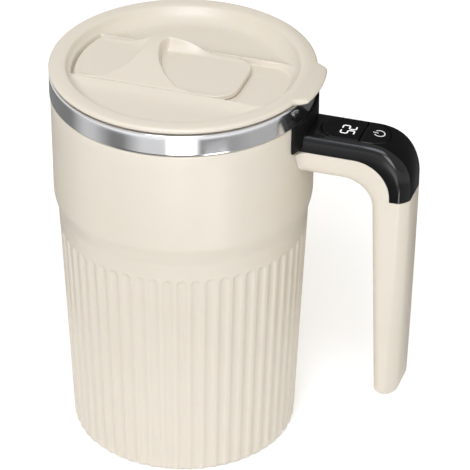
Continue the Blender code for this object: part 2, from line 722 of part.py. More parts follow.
def motor_frame(port):
    """An upturned cup that stands on the shell's ledge and carries the motor under the liner."""
    outer = shell_inner(LEDGE_TOP) - LOOSE_GAP
    low = LEDGE_TOP + SEAT_GAP
    profile = [(0, PLATE_TOP), (outer, PLATE_TOP), (outer, low), (outer - FRAME_WALL, low)]
    profile += [(outer - FRAME_WALL, PLATE_LOW), (0, PLATE_LOW)]
    frame = turned("motor_frame", profile, WHITE_PLASTIC, BASE_STEPS)
    for number, degrees in enumerate(BASE_SCREW_ANGLES, 1):
        x, y = around(POST_PLACE, degrees)
        post_top = PLATE_LOW + FRAME_PLATE / 2
        depth = COVER_TOP + BASE_SCREW_LENGTH + SEAT_GAP
        hole = SCREW_RADIUS + SEAT_GAP
        join(frame, rod(f"post_{number}", POST_RADIUS, LEDGE_LOW, post_top, None, SCREW_STEPS, x, y))
        cut(frame, rod(f"post_hole_{number}", hole, COVER_TOP, depth, None, SCREW_STEPS, x, y))
    cut(frame, port)
    boss_hole = MOTOR_BOSS_RADIUS + SEAT_GAP
    cut(frame, rod("boss_hole", boss_hole, PLATE_LOW - OVERRUN, PLATE_TOP + OVERRUN))
    for side in (-1, 1):
        place_x = side * MOTOR_SCREW_PLACE
        hole = SCREW_RADIUS + SEAT_GAP
        name = "left" if side < 0 else "right"
        top = PLATE_TOP + OVERRUN
        low = PLATE_LOW - OVERRUN
        cut(frame, rod(f"motor_screw_hole_{name}", hole, low, top, None, SCREW_STEPS, place_x))
    low = PLATE_LOW - OVERRUN
    cable = rod("frame_cable_hole", CABLE_HOLE, low, PLATE_TOP + OVERRUN, None, SCREW_STEPS, cable_rise())
    cut(frame, cable)


def motor():
    """The motor's can, its two screws, and the shaft with its magnet carrier."""
    can = [(0, PLATE_TOP), (MOTOR_BOSS_RADIUS, PLATE_TOP), (MOTOR_BOSS_RADIUS, MOTOR_TOP)]
    can += [(MOTOR_RADIUS, MOTOR_TOP), (MOTOR_RADIUS, MOTOR_LOW), (0, MOTOR_LOW)]
    body = turned("motor", can, STEEL)
    shaft_low = MOTOR_TOP - SHAFT_DEPTH
    bore = SHAFT_RADIUS + RUNNING_GAP
    cut(body, rod("motor_bore", bore, shaft_low - SEAT_GAP, PLATE_TOP + OVERRUN))
    for number, side in ((1, -1), (2, 1)):
        x = side * MOTOR_SCREW_PLACE
        head_low = PLATE_TOP + SEAT_GAP
        head_top = head_low + SCREW_HEAD_HEIGHT * 2 / 3
        tip = MOTOR_TOP - MOTOR_SCREW_REACH
        hole_low = tip - SEAT_GAP
        hole = SCREW_RADIUS + SEAT_GAP
        cut(body, rod(f"motor_pilot_{number}", hole, hole_low, MOTOR_TOP + OVERRUN, None, SCREW_STEPS, x))
        profile = [(0, head_top), (SCREW_HEAD_RADIUS, head_top), (SCREW_HEAD_RADIUS, head_low)]
        profile += [(SCREW_RADIUS, head_low), (SCREW_RADIUS, tip), (0, tip)]
        turned(f"motor_screw_{number}", profile, STEEL, SCREW_STEPS).location = (x, 0, 0)
    rod("motor_shaft", SHAFT_RADIUS, shaft_low, CARRIER_TOP - SEAT_GAP, STEEL)
    carrier = ring(
        "magnet_carrier", SHAFT_RADIUS + SEAT_GAP, CARRIER_RADIUS, CARRIER_LOW, CARRIER_TOP, GREY_PLASTIC
    )
    pocket_low = CARRIER_TOP - DRIVE_MAGNET_HEIGHT - 2 * SEAT_GAP
    for number, side in ((1, 1), (2, -1)):
        y = side * DRIVE_MAGNET_PLACE
        pocket = DRIVE_MAGNET_RADIUS + SEAT_GAP
        high = CARRIER_TOP + OVERRUN
        cut(carrier, rod(f"carrier_pocket_{number}", pocket, pocket_low, high, None, PIECE_STEPS, 0, y))
        low = pocket_low + SEAT_GAP
        top = low + DRIVE_MAGNET_HEIGHT
        rod(f"drive_magnet_{number}", DRIVE_MAGNET_RADIUS, low, top, MAGNET, PIECE_STEPS, 0, y)


def electronics():
    """Round main board, battery, charging socket and temperature probe."""
    board = rod("main_board", BOARD_RADIUS, BOARD_LOW, BOARD_TOP, BOARD_GREEN, BASE_STEPS)
    for number, degrees in enumerate(BASE_SCREW_ANGLES, 1):
        x, y = around(POST_PLACE, degrees)
        notch = POST_RADIUS + LOOSE_GAP
        low = BOARD_LOW - OVERRUN
        cut(board, rod(f"board_notch_{number}", notch, low, BOARD_TOP + OVERRUN, None, PIECE_STEPS, x, y))
    near = MOTOR_RADIUS + LOOSE_GAP * 2
    low = BOARD_TOP + SEAT_GAP
    half = BOARD_RADIUS * BATTERY_LENGTH_share
    far = BOARD_RADIUS - BATTERY_INSET
    cell = block("battery", (-half, near, low), (half, far, low + BATTERY_THICKNESS), BATTERY_WRAP)
    round_edges(cell, BATTERY_ROUND)
    front = -BOARD_RADIUS
    half = SOCKET_WIDTH / 2
    top = low + SOCKET_HEIGHT
    socket = block("charge_socket", (front, -half, low), (front + SOCKET_DEPTH, half, top), STEEL)
    round_edges(socket, SOCKET_HEIGHT / 3)
    inner_low = (front - OVERRUN, -half + SOCKET_WALL, low + SOCKET_WALL)
    inner_high = (front + SOCKET_DEPTH - SOCKET_WALL * 2, half - SOCKET_WALL, top - SOCKET_WALL)
    hollow = block("socket_hollow", inner_low, inner_high)
    round_edges(hollow, SOCKET_HEIGHT / 4)
    tongue_half = half - SOCKET_WALL * 3
    middle = (low + top) / 2
    tongue = block(
        "socket_tongue",
        (front + SOCKET_WALL, -tongue_half, middle - SOCKET_TONGUE / 2),
        (front + SOCKET_DEPTH - SOCKET_WALL, tongue_half, middle + SOCKET_TONGUE / 2),
    )
    cut(socket, hollow)
    join(socket, tongue)
    probe_low = PLATE_TOP + SEAT_GAP
    probe_top = LINER_UNDERSIDE - SEAT_GAP
    place_y = PROBE_RADIUS + PROBE_GAP + SUPPORT_WIDTH - support_radius()
    rod("temperature_probe", PROBE_RADIUS, probe_low, probe_top, STEEL, SCREW_STEPS, 0, place_y)


def stirring():
    """Fixed pivot on the cup's floor, and the magnetic stirrer that turns on it."""
    stud_top = PIVOT_LOW + PIVOT_FLANGE_HEIGHT + PIVOT_HEIGHT
    flange_top = PIVOT_LOW + PIVOT_FLANGE_HEIGHT
    pivot = [(0, stud_top), (PIVOT_RADIUS, stud_top), (PIVOT_RADIUS, flange_top)]
    pivot += [(PIVOT_FLANGE_RADIUS, flange_top), (PIVOT_FLANGE_RADIUS, PIVOT_LOW), (0, PIVOT_LOW)]
    turned("stirrer_pivot", pivot, STEEL)
    bore = PIVOT_RADIUS + RUNNING_GAP
    disc_top = STIRRER_LOW + STIRRER_DISC
    hub_top = STIRRER_LOW + STIRRER_HUB_HEIGHT
    disc = [(bore, hub_top), (STIRRER_HUB_RADIUS, hub_top), (STIRRER_HUB_RADIUS, disc_top)]
    disc += [(STIRRER_RADIUS, disc_top - STIRRER_DISC / 3), (STIRRER_RADIUS, STIRRER_LOW)]
    disc.append((bore, STIRRER_LOW))
    stirrer = turned("stirrer", disc, GREY_PLASTIC, closed=True)
    half = VANE_THICKNESS / 2
    for number, side in ((1, 1), (2, -1)):
        inner = side * (STIRRER_HUB_RADIUS - VANE_THICKNESS / 2)
        outer = side * (STIRRER_RADIUS - VANE_THICKNESS / 2)
        left, right = min(inner, outer), max(inner, outer)
        vane_low = disc_top - STIRRER_DISC / 2
        vane = block(f"vane_{number}", (left, -half, vane_low), (right, half, STIRRER_LOW + VANE_HEIGHT))
        round_edges(vane, VANE_THICKNESS / 3, 1)
        join(stirrer, vane)
    for number, side in ((1, 1), (2, -1)):
        y = side * (STIRRER_RADIUS - STIR_MAGNET_INSET)
        pocket = STIR_MAGNET_RADIUS + SEAT_GAP
        low = STIRRER_LOW + SEAT_GAP
        top = low + STIR_MAGNET_HEIGHT
        under = STIRRER_LOW - OVERRUN
        cut(
            stirrer,
            rod(f"stirrer_pocket_{number}", pocket, under, top + SEAT_GAP, None, PIECE_STEPS, 0, y),
        )
        rod(f"stirrer_magnet_{number}", STIR_MAGNET_RADIUS, low, top, MAGNET, PIECE_STEPS, 0, y)


def dish_wall():
    """Points of the lid's bowl, from its flat floor up to the flange's inner edge."""
    top = LID_RADIUS - FLANGE_WIDTH
    foot = top - DISH_WALL_RUN
    knots = (
        (foot, DISH_FLOOR),
        (foot + DISH_WALL_RUN * 2 / 3, DISH_FLOOR),
        (top - DISH_WALL_RUN / 8, DISH_FLOOR + DISH_DEPTH / 3),
        (top, LID_TOP - FLANGE_ROUND),
    )
    points = []
    for i in range(ARC_STEPS + 1):
        t = i / ARC_STEPS
        weights = ((1 - t) ** 3, 3 * t * (1 - t) ** 2, 3 * t * t * (1 - t), t**3)
        radius = sum(w * knot[0] for w, knot in zip(weights, knots))
        height = sum(w * knot[1] for w, knot in zip(weights, knots))
        points.append((radius, height))
    return points


def slider_outline(grow, end_grow):
    """Plan of the slider, widened by a gap: a round left end, and a right end with round corners."""
    half = SLIDER_HALF_WIDTH + grow
    left = SLIDER_LEFT_RADIUS + (TRACK_MOAT if grow else 0)
    tilt = math.degrees(math.asin(half / left))
    corner = SLIDER_CORNER + grow
    right = SLIDER_RIGHT + end_grow
    points = arc(0, 0, left, 180 - tilt, 180 + tilt, 8)
    points += arc(right - corner, -half + corner, corner, -90, 0)
    points += arc(right - corner, half - corner, corner, 0, 90)
    return points


def lid():
    """Lid with its tab, the platform that holds the slider's track, its gasket and its sip seal."""
    inner = LID_RADIUS - FLANGE_WIDTH
    edge = FLANGE_ROUND
    profile = [(0, DISH_FLOOR)]
    profile += dish_wall()
    profile += [(inner + edge, LID_TOP), (LID_RADIUS - edge * 2, LID_TOP)]
    profile += [(LID_RADIUS - edge / 2, LID_TOP - edge / 2), (LID_RADIUS, LID_TOP - edge * 3 / 2)]
    profile += [(LID_RADIUS - edge / 3, LID_SEAT), (SKIRT_RADIUS, LID_SEAT)]
    groove_top = LID_SEAT - GASKET_DROP
    groove_low = groove_top - GASKET_HEIGHT - 2 * SEAT_GAP
    groove_radius = SKIRT_RADIUS - GASKET_DEPTH
    profile += [(SKIRT_RADIUS, groove_top), (groove_radius, groove_top), (groove_radius, groove_low)]
    profile += [(SKIRT_RADIUS, groove_low), (SKIRT_RADIUS, SKIRT_LOW), (SKIRT_INNER, SKIRT_LOW)]
    profile += [(SKIRT_INNER, LID_UNDERSIDE), (0, LID_UNDERSIDE)]
    body = turned("lid_body", profile, CREAM, BODY_STEPS)

    tip = LID_RADIUS + TAB_REACH
    points = arc(0, 0, tip, -TAB_TIP_ANGLE, TAB_TIP_ANGLE)
    root = LID_RADIUS - edge
    points += [around(root, TAB_ROOT_ANGLE), around(inner, 0), around(root, -TAB_ROOT_ANGLE)]
    join(body, outline("tab", points, LID_SEAT, LID_SEAT + TAB_THICKNESS))

    half = TRACK_HALF_WIDTH + TRACK_SIDE
    drop = SLIDER_TOP - DISH_FLOOR
    flank = arc(half, DISH_FLOOR + drop, drop * LAND_SLOPE_ratio, 180, 270, 5, drop)
    flank = [(y + drop * LAND_SLOPE_ratio, z) for y, z in flank]
    section = [*flank, (flank[-1][0], DISH_FLOOR - LID_WALL / 3)]
    section += [(-y, z) for y, z in reversed(section)]
    reach = inner - edge
    land = outline("track_land", section, -reach, reach, upright=True)
    land.rotation_euler = (math.radians(90), 0, math.radians(90))
    keep(land, rod("land_round", reach, LID_UNDERSIDE - OVERRUN, LID_TOP + OVERRUN, steps=BODY_STEPS))
    join(body, land)
    track = slider_outline(SLIDE_GAP, SLIDER_TRAVEL + LOOSE_GAP)
    cut(body, outline("track", track, DISH_FLOOR, LID_TOP + OVERRUN))
    groove_half = TRACK_HALF_WIDTH + TONGUE_DEPTH
    groove_left = -TONGUE_LEFT - SLIDE_GAP
    groove_right = TONGUE_RIGHT + SLIDER_TRAVEL + SLIDE_GAP
    tongue_top = SLIDER_LOW + TONGUE_THICKNESS + SLIDE_GAP
    cut(
        body,
        block(
            "tongue_groove", (groove_left, -groove_half, DISH_FLOOR), (groove_right, groove_half, tongue_top)
        ),
    )
    sip = sip_outline(0)
    cut(body, outline("sip_hole", sip, LID_UNDERSIDE - OVERRUN, DISH_FLOOR + OVERRUN))
    seat_low = DISH_FLOOR - SIP_SEAL_DEPTH - SEAT_GAP
    seat = sip_outline(SIP_SEAL_WIDTH + SEAT_GAP)
    cut(body, outline("seal_seat", seat, seat_low, DISH_FLOOR + OVERRUN))

    seal_top = SLIDER_LOW - SLIDE_GAP
    seal = outline("sip_seal", sip_outline(SIP_SEAL_WIDTH), seat_low + SEAT_GAP, seal_top, CLEAR_SILICONE)
    cut(seal, outline("seal_hole", sip, seat_low - OVERRUN, seal_top + OVERRUN))
    gasket_low = groove_low + SEAT_GAP
    ring(
        "lid_gasket",
        groove_radius + SEAT_GAP,
        MOUTH_RADIUS - SEAT_GAP,
        gasket_low,
        gasket_low + GASKET_HEIGHT,
        CLEAR_SILICONE,
        BASE_STEPS,
    )


def sip_outline(grow):
    """The sip hole's rounded slot across the lid, widened by a width."""
    radius = SIP_HOLE_LENGTH / 2
    straight = SIP_HOLE_WIDTH / 2 - radius
    points = arc(-SIP_HOLE_PLACE, straight, radius + grow, 0, 180)
    return points + arc(-SIP_HOLE_PLACE, -straight, radius + grow, 180, 360)


def ridge_level(across):
    """Share of the ridge's height across the slider: level at the back, then an even fall to the front."""
    past = (1 - across) / 2
    fall = 1 / (1 - RIDGE_LEVEL_share / 2)
    if past < RIDGE_LEVEL_share:
        return 1 - fall * past * past / (2 * RIDGE_LEVEL_share)
    return 1 - fall * (past - RIDGE_LEVEL_share / 2)


def ridge_row(across, left, right, left_wing, right_wing, rise):
    """Points (x, height) over one row of the ridge, from its left wing to its right wing."""
    level = ridge_level(across) * RIDGE_HEIGHT
    start = -RIDGE_PLACE - left * RIDGE_SPAN
    end = -RIDGE_PLACE + right * RIDGE_SPAN
    points = []
    for along, height in reversed(LEFT_WING_shares):
        place = start - RIDGE_EDGE - along * left_wing * RIDGE_SPAN
        points.append((place, height * rise * RIDGE_HEIGHT))
    points += [(start, level), ((start + end) / 2, level), (end, level)]
    for along, height in RIGHT_WING_shares:
        points.append((end + RIDGE_EDGE + along * right_wing * RIDGE_SPAN, height * rise * RIDGE_HEIGHT))
    return points


def thumb_ridge():
    """Raised hourglass between the slider's two dishes, highest along its back edge."""
    low = SLIDER_LOW + SLIDER_THICKNESS / 2
    base = SLIDER_TOP - SLIDE_GAP
    shape = bmesh.new()
    rows = []
    for shares in RIDGE_ROW_shares:
        y = shares[0] * (SLIDER_HALF_WIDTH - SLIDE_GAP)
        points = ridge_row(*shares)
        upper = [shape.verts.new((x, y, base + height)) for x, height in points]
        lower = [shape.verts.new((x, y, low)) for x, height in points]
        rows.append((upper, lower))
    for (upper, lower), (next_upper, next_lower) in zip(rows, rows[1:]):
        for i in range(len(upper) - 1):
            shape.faces.new((upper[i], upper[i + 1], next_upper[i + 1], next_upper[i]))
            shape.faces.new((lower[i], lower[i + 1], next_lower[i + 1], next_lower[i]))
        for end in (0, -1):
            shape.faces.new((upper[end], next_upper[end], next_lower[end], lower[end]))
    for upper, lower in (rows[0], rows[-1]):
        for i in range(len(upper) - 1):
            shape.faces.new((upper[i], upper[i + 1], lower[i + 1], lower[i]))
    bmesh.ops.triangulate(shape, faces=shape.faces[:])
    bmesh.ops.recalc_face_normals(shape, faces=shape.faces[:])
    mesh = bpy.data.meshes.new("thumb_ridge")
    shape.to_mesh(mesh)
    shape.free()
    return place("thumb_ridge", mesh, None)


def lid_slider():
    """Flat cover with the raised ridge that a thumb pushes, and tongues in the track's grooves."""
    slider = outline("lid_slider", slider_outline(0, 0), SLIDER_LOW, SLIDER_TOP, CREAM)
    join(slider, thumb_ridge())
    reach = SLIDER_HALF_WIDTH + TONGUE_DEPTH
    top = SLIDER_LOW + TONGUE_THICKNESS
    join(slider, block("tongues", (-TONGUE_LEFT, -reach, SLIDER_LOW), (TONGUE_RIGHT, reach, top)))


def grip_inner(top):
    """X of the grip's inner face at its top or its tip."""
    if top:
        return GRIP_OUTER - GRIP_THICKNESS
    return GRIP_OUTER - GRIP_TIP_LEAN - GRIP_TIP_THICKNESS


def handle_form(name, look):
    """The whole handle, before the cap is parted from the body."""
    root = SHELL_INNER_TOP
    inner = grip_inner(True)
    tip_z = GRIP_TIP_HEIGHT + GRIP_TIP_ROUND
    tip_x = (grip_inner(False) + GRIP_OUTER - GRIP_TIP_LEAN) / 2
    points = [(root, ARM_TOP)]
    points += arc(BEND_X, BEND_Z, OUTER_BEND, 90, 0, 8)
    points += arc(tip_x, tip_z, GRIP_TIP_THICKNESS / 2, 0, -180, 8, GRIP_TIP_ROUND)
    points += arc(inner - INNER_BEND, ARM_LOW - INNER_BEND, INNER_BEND, 0, 90, 6)
    points.append((root, ARM_LOW))
    form = outline(name, points, -HANDLE_HALF_WIDTH, HANDLE_HALF_WIDTH, look, upright=True)
    round_edges(form, HANDLE_EDGE, 3)
    low = ARM_LOW - OVERRUN
    high = ARM_TOP + OVERRUN
    profile = [(0, high), (shell_radius(high) + SEAT_GAP, high)]
    profile += [(shell_radius(low) + SEAT_GAP, low), (0, low)]
    cut(form, turned(name + "_shell_clearance", profile, steps=BODY_STEPS))
    return form


def cap_zone(name, grow):
    """The side view of the cap's share of the handle, widened for the body's cut."""
    far = GRIP_OUTER + OVERRUN
    tail = BEND_Z + OUTER_BEND - CAP_TAIL - grow
    bend = CAP_BEND - grow
    bend_x = GRIP_OUTER - CAP_GRIP_DEPTH - CAP_BEND
    points = [(0, ARM_TOP + OVERRUN), (0, CAP_LINE - grow)]
    points += arc(bend_x, CAP_LINE - CAP_BEND, bend, 90, 0, 8)
    points += [(bend_x + bend, tail), (far, tail), (far, ARM_TOP + OVERRUN)]
    width = HANDLE_HALF_WIDTH + OVERRUN
    return outline(name, points, -width, width, upright=True)


def handle_body():
    body = handle_form("handle_body", CREAM)
    cut(body, cap_zone("cap_side", SEAT_GAP))
    channel_low = (CAVITY_LEFT, -CHANNEL_HALF_WIDTH, CHANNEL_LOW)
    channel_high = (CAVITY_RIGHT, CHANNEL_HALF_WIDTH, ARM_TOP)
    cut(body, block("handle_channel", channel_low, channel_high))
    cut(body, cable_hole("handle"))
    for number, side in ((1, 1), (2, -1)):
        cut(body, handle_screw_hole(side, "handle"))
        y = side * HANDLE_SCREW_SIDE
        head_side = HANDLE_SCREW_SIDE + SCREW_HEAD_RADIUS
        head_end = math.sqrt(SHELL_INNER_TOP**2 - head_side**2) - SEAT_GAP
        head_start = head_end - HANDLE_SCREW_HEAD
        tip = RIM_RADIUS + HANDLE_SCREW_LENGTH - SEAT_GAP
        profile = [(0, tip), (SCREW_RADIUS, tip), (SCREW_RADIUS, head_end)]
        profile += [(SCREW_HEAD_RADIUS * 3 / 4, head_end), (SCREW_HEAD_RADIUS * 3 / 4, head_start)]
        profile.append((0, head_start))
        screw = turned(f"handle_screw_{number}", profile, STEEL, SCREW_STEPS)
        screw.rotation_euler = (0, math.radians(90), 0)
        screw.location = (0, y, SCREW_HEIGHT)


def panel_plan(left, right, grow):
    """The panel's plan between two values of X, with its round ends where it reaches them."""
    half = PANEL_HALF_WIDTH + grow
    points = []
    if right >= PANEL_RIGHT:
        centre = right - half
        points += arc(centre, 0, half, -90, 90, 10)
    else:
        points += [(right, -half), (right, half)]
    if left <= PANEL_LEFT:
        centre = left + half
        points += arc(centre, 0, half, 90, 270, 10)
    else:
        points += [(left, half), (left, -half)]
    return points


def bent_layer(name, depth, thickness, half_width, look=None):
    """A layer that follows the top of the arm and its bend, a depth under the surface."""
    outer = OUTER_BEND - depth
    inner = outer - thickness
    top = BEND_Z + outer
    low = BEND_Z + inner
    left = PANEL_LEFT
    points = [(left, low), (left, top)]
    points += arc(BEND_X, BEND_Z, outer, 90, 15, 8)
    points += arc(BEND_X, BEND_Z, inner, 15, 90, 8)
    return outline(name, points, -half_width, half_width, look, upright=True)


def handle_cap():
    """The black cap with its saddle on the shell, hollow under its top wall, with the panel's openings."""
    cap = handle_form("handle_cap", BLACK)
    keep(cap, cap_zone("cap_zone", 0))
    root = shell_radius(SHELL_TOP) + SEAT_GAP
    saddle_top = SHELL_TOP - SEAT_GAP
    saddle = ring("saddle", root, root + SADDLE_THICKNESS, CAP_LINE, saddle_top, steps=BODY_STEPS)
    saddle_low = (0, -SADDLE_HALF_WIDTH, CAP_LINE - OVERRUN)
    keep(saddle, block("saddle_side", saddle_low, (GRIP_OUTER, SADDLE_HALF_WIDTH, RIM_HEIGHT)))
    join(cap, saddle)
    cavity_low = CHANNEL_LOW - LOOSE_GAP
    bend = OUTER_BEND - CAP_TOP_WALL
    lean = math.degrees(math.acos((CAVITY_RIGHT - BEND_X) / bend))
    cavity = [(CAVITY_LEFT, cavity_low), (CAVITY_LEFT, CAVITY_TOP)]
    cavity += arc(BEND_X, BEND_Z, bend, 90, lean, 6)
    cavity.append((CAVITY_RIGHT, cavity_low))
    half = CAP_CAVITY_HALF_WIDTH
    cut(cap, outline("cap_cavity", cavity, -half, half, upright=True))
    recess_low = WINDOW_LOW - SEAT_GAP
    high = ARM_TOP + OVERRUN
    recess = panel_plan(PANEL_LEFT - SEAT_GAP, WINDOW_RIGHT + SEAT_GAP, SEAT_GAP)
    cut(cap, outline("window_recess", recess, recess_low, high))
    module_left = PANEL_LEFT + WINDOW_LEDGE
    module_right = WINDOW_RIGHT - WINDOW_LEDGE
    half = MODULE_HALF_WIDTH + SEAT_GAP
    cut(cap, block("module_opening", (module_left, -half, CAP_LINE), (module_right, half, high)))
    opening = panel_plan(BUTTON_LEFT - SEAT_GAP / 2, PANEL_RIGHT + SEAT_GAP, SEAT_GAP)
    cut(cap, outline("button_opening", opening, CAP_LINE - OVERRUN, high))

    window = panel_plan(PANEL_LEFT, WINDOW_RIGHT, 0)
    outline("display_window", window, WINDOW_LOW, WINDOW_TOP, DARK_WINDOW)
    module_low = (module_left + SEAT_GAP, -MODULE_HALF_WIDTH, HANDLE_BOARD_TOP + SEAT_GAP)
    module_high = (module_right - SEAT_GAP, MODULE_HALF_WIDTH, WINDOW_LOW - SEAT_GAP)
    block("display_module", module_low, module_high, WHITE_PLASTIC)
    side = CHANNEL_HALF_WIDTH - SEAT_GAP
    board_left = CAVITY_LEFT + LOOSE_GAP
    board_low = (board_left, -side, HANDLE_BOARD_LOW)
    board_high = (CAVITY_RIGHT - LOOSE_GAP * 2, side, HANDLE_BOARD_TOP)
    block("handle_board", board_low, board_high, BOARD_GREEN)


def power_button():
    """Button with a flange under the cap's wall, over a push switch on the handle's board."""
    depth = -PANEL_PROUD
    flange_depth = CAP_TOP_WALL + SEAT_GAP
    button = bent_layer("power_button", depth, flange_depth + PANEL_PROUD * 2, PANEL_HALF_WIDTH, BLACK)
    plan = panel_plan(BUTTON_LEFT, PANEL_RIGHT, 0)
    low = HANDLE_BOARD_TOP
    high = ARM_TOP + OVERRUN
    keep(button, outline("button_plan", plan, low, high))
    grow = BUTTON_FLANGE
    flange = bent_layer("button_flange", flange_depth, BUTTON_FLANGE_THICKNESS, PANEL_HALF_WIDTH + grow)
    flange_plan = panel_plan(BUTTON_LEFT, PANEL_RIGHT + grow, grow)
    keep(flange, outline("flange_plan", flange_plan, low, high))
    join(button, flange)
    under = OUTER_BEND - flange_depth - BUTTON_FLANGE_THICKNESS
    offset = BUTTON_X - BEND_X
    under_z = BEND_Z + math.sqrt(under * under - offset * offset)
    switch_low = HANDLE_BOARD_TOP + SEAT_GAP
    body_top = switch_low + SWITCH_BODY
    plunger_top = body_top + SWITCH_BODY / 4
    stem_low = plunger_top + BUTTON_TRAVEL + RUNNING_GAP
    stem = rod(
        "button_stem", BUTTON_STEM_RADIUS, stem_low, under_z + SEAT_GAP * 2, None, SCREW_STEPS, BUTTON_X
    )
    join(button, stem)
    half = SWITCH_SIZE / 2
    switch = block(
        "power_switch", (BUTTON_X - half, -half, switch_low), (BUTTON_X + half, half, body_top), GREY_PLASTIC
    )
    plunger_low = body_top - SWITCH_BODY / 2
    plunger = rod(
        "switch_plunger", SWITCH_PLUNGER_RADIUS, plunger_low, plunger_top, None, SCREW_STEPS, BUTTON_X
    )
    join(switch, plunger)


def smooth_route(knots, samples):
    """Points of a smooth curve through the knots, which are (radius, height) pairs."""
    padded = [knots[0], *knots, knots[-1]]
    points = []
    for a, b, c, d in zip(padded, padded[1:], padded[2:], padded[3:]):
        for i in range(samples):
            t = i / samples
            point = []
            for p, q, r, s in zip(a, b, c, d):
                bend = (2 * p - 5 * q + 4 * r - s) * t * t + (3 * q - p - 3 * r + s) * t**3
                point.append((2 * q + (r - p) * t + bend) / 2)
            points.append(point)
    points.append(knots[-1])
    return points


def handle_cable():
    """Cable from the main board, up between the cup and the shell, into the handle."""
    def between(height):
        inner = SHELL_INNER_TOP if height >= STEP_TOP else shell_inner(min(height, STEP_LOW))
        return (inner + liner_outer(height)) / 2

    corner = LINER_UNDERSIDE + LINER_CORNER
    step = (STEP_LOW + STEP_TOP) / 2
    turn = CABLE_HEIGHT - CABLE_LIFT
    knots = [
        (CABLE_START, BOARD_TOP + SEAT_GAP),
        (CABLE_START, BOARD_TOP + OVERRUN),
        (cable_rise(), PLATE_LOW - OVERRUN / 2),
        (cable_rise(), PLATE_TOP + SEAT_GAP),
        (shell_inner(LINER_UNDERSIDE) - FLOOR_GAP, LINER_UNDERSIDE),
        (between(corner), corner + OVERRUN / 2),
        (between(STEP_LOW / 2 + corner / 2), (STEP_LOW + corner) / 2),
        (between(STEP_LOW), STEP_LOW),
        ((between(STEP_LOW) + between(STEP_TOP)) / 2, step),
        (between(turn), turn),
        (between(CABLE_HEIGHT), CABLE_HEIGHT - CABLE_RADIUS * 2),
        (SHELL_INNER_TOP + CABLE_RADIUS, CABLE_HEIGHT),
        (CAVITY_LEFT + LOOSE_GAP, CABLE_HEIGHT),
    ]
    curve = bpy.data.curves.new("handle_cable", "CURVE")
    curve.dimensions = "3D"
    curve.bevel_depth = CABLE_RADIUS
    curve.bevel_resolution = 2
    curve.use_fill_caps = True
    points = smooth_route(knots, CABLE_SAMPLES)
    spline = curve.splines.new("POLY")
    spline.points.add(len(points) - 1)
    for point, (radius, height) in zip(spline.points, points):
        point.co = (radius, 0, height, 1)
    place("handle_cable", mesh_of("handle_cable", curve), CABLE_JACKET)


port = port_cutter()
outer_shell(port)
cup_liner()
base()
motor_frame(port)
motor()
electronics()
stirring()
lid()
lid_slider()
handle_body()
handle_cap()
power_button()
handle_cable()
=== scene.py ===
"""Looks of the self-stirring mug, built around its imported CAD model. Metres, handle along +X."""

import math

import bmesh
import bpy
import numpy as np
from mathutils import Matrix, Vector


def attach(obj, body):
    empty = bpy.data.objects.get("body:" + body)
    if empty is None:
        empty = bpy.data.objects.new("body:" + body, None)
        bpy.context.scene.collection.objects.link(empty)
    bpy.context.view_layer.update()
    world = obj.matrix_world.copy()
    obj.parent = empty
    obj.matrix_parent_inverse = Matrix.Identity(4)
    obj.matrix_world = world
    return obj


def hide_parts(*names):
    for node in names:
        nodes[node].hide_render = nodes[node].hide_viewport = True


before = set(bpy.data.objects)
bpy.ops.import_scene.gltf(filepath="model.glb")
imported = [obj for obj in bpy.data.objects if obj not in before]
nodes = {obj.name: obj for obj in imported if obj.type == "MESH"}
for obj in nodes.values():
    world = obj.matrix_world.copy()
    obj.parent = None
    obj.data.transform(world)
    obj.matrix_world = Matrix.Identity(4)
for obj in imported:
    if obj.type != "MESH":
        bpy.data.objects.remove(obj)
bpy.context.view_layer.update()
MM = 0.001

# Camera

AZIMUTH = math.radians(18.0)
ELEVATION = math.radians(32.05)
ROLL = math.radians(0.27)
CAMERA_PLACE = (0.32632, -0.94825, 0.69904)
CLIP_NEAR, CLIP_FAR = 0.05, 20
PHOTO_PIXELS = 470
FOCAL_PIXELS = 3500
SENSOR = 36.0

camera_data = bpy.data.cameras.new("camera")
camera_data.sensor_fit = "HORIZONTAL"
camera_data.sensor_width = SENSOR
camera_data.lens = FOCAL_PIXELS / PHOTO_PIXELS * SENSOR
camera_data.clip_start = CLIP_NEAR
camera_data.clip_end = CLIP_FAR
camera = bpy.data.objects.new("camera", camera_data)
bpy.context.scene.collection.objects.link(camera)
camera.matrix_world = (
    Matrix.Translation(CAMERA_PLACE)
    @ Matrix.Rotation(AZIMUTH, 4, "Z")
    @ Matrix.Rotation(math.pi / 2 - ELEVATION, 4, "X")
    @ Matrix.Rotation(ROLL, 4, "Z")
)
bpy.context.scene.camera = camera
bpy.context.scene.view_settings.view_transform = "Standard"

# Materials

CLOUD_SCALE = 14.0
BRUSH_SHADE = 0.93
CELL_SCALE, CELL_SHADE = 1800, 0.92


def shader_of(name):
    """A new material, with its node tree and its shader."""
    material = bpy.data.materials.new(name)
    material.use_nodes = True
    tree = material.node_tree
    return material, tree, tree.nodes["Principled BSDF"]


def object_coordinates(tree, scale=(1, 1, 1)):
    """The place on the object, which goes into the textures."""
    coordinates = tree.nodes.new("ShaderNodeTexCoord")
    mapping = tree.nodes.new("ShaderNodeMapping")
    mapping.inputs["Scale"].default_value = scale
    tree.links.new(coordinates.outputs["Object"], mapping.inputs["Vector"])
    return mapping.outputs["Vector"]


def noise(tree, vector, scale, detail, roughness=0.5):
    made = tree.nodes.new("ShaderNodeTexNoise")
    made.inputs["Scale"].default_value = scale
    made.inputs["Detail"].default_value = detail
    made.inputs["Roughness"].default_value = roughness
    tree.links.new(vector, made.inputs["Vector"])
    return made.outputs["Fac"]


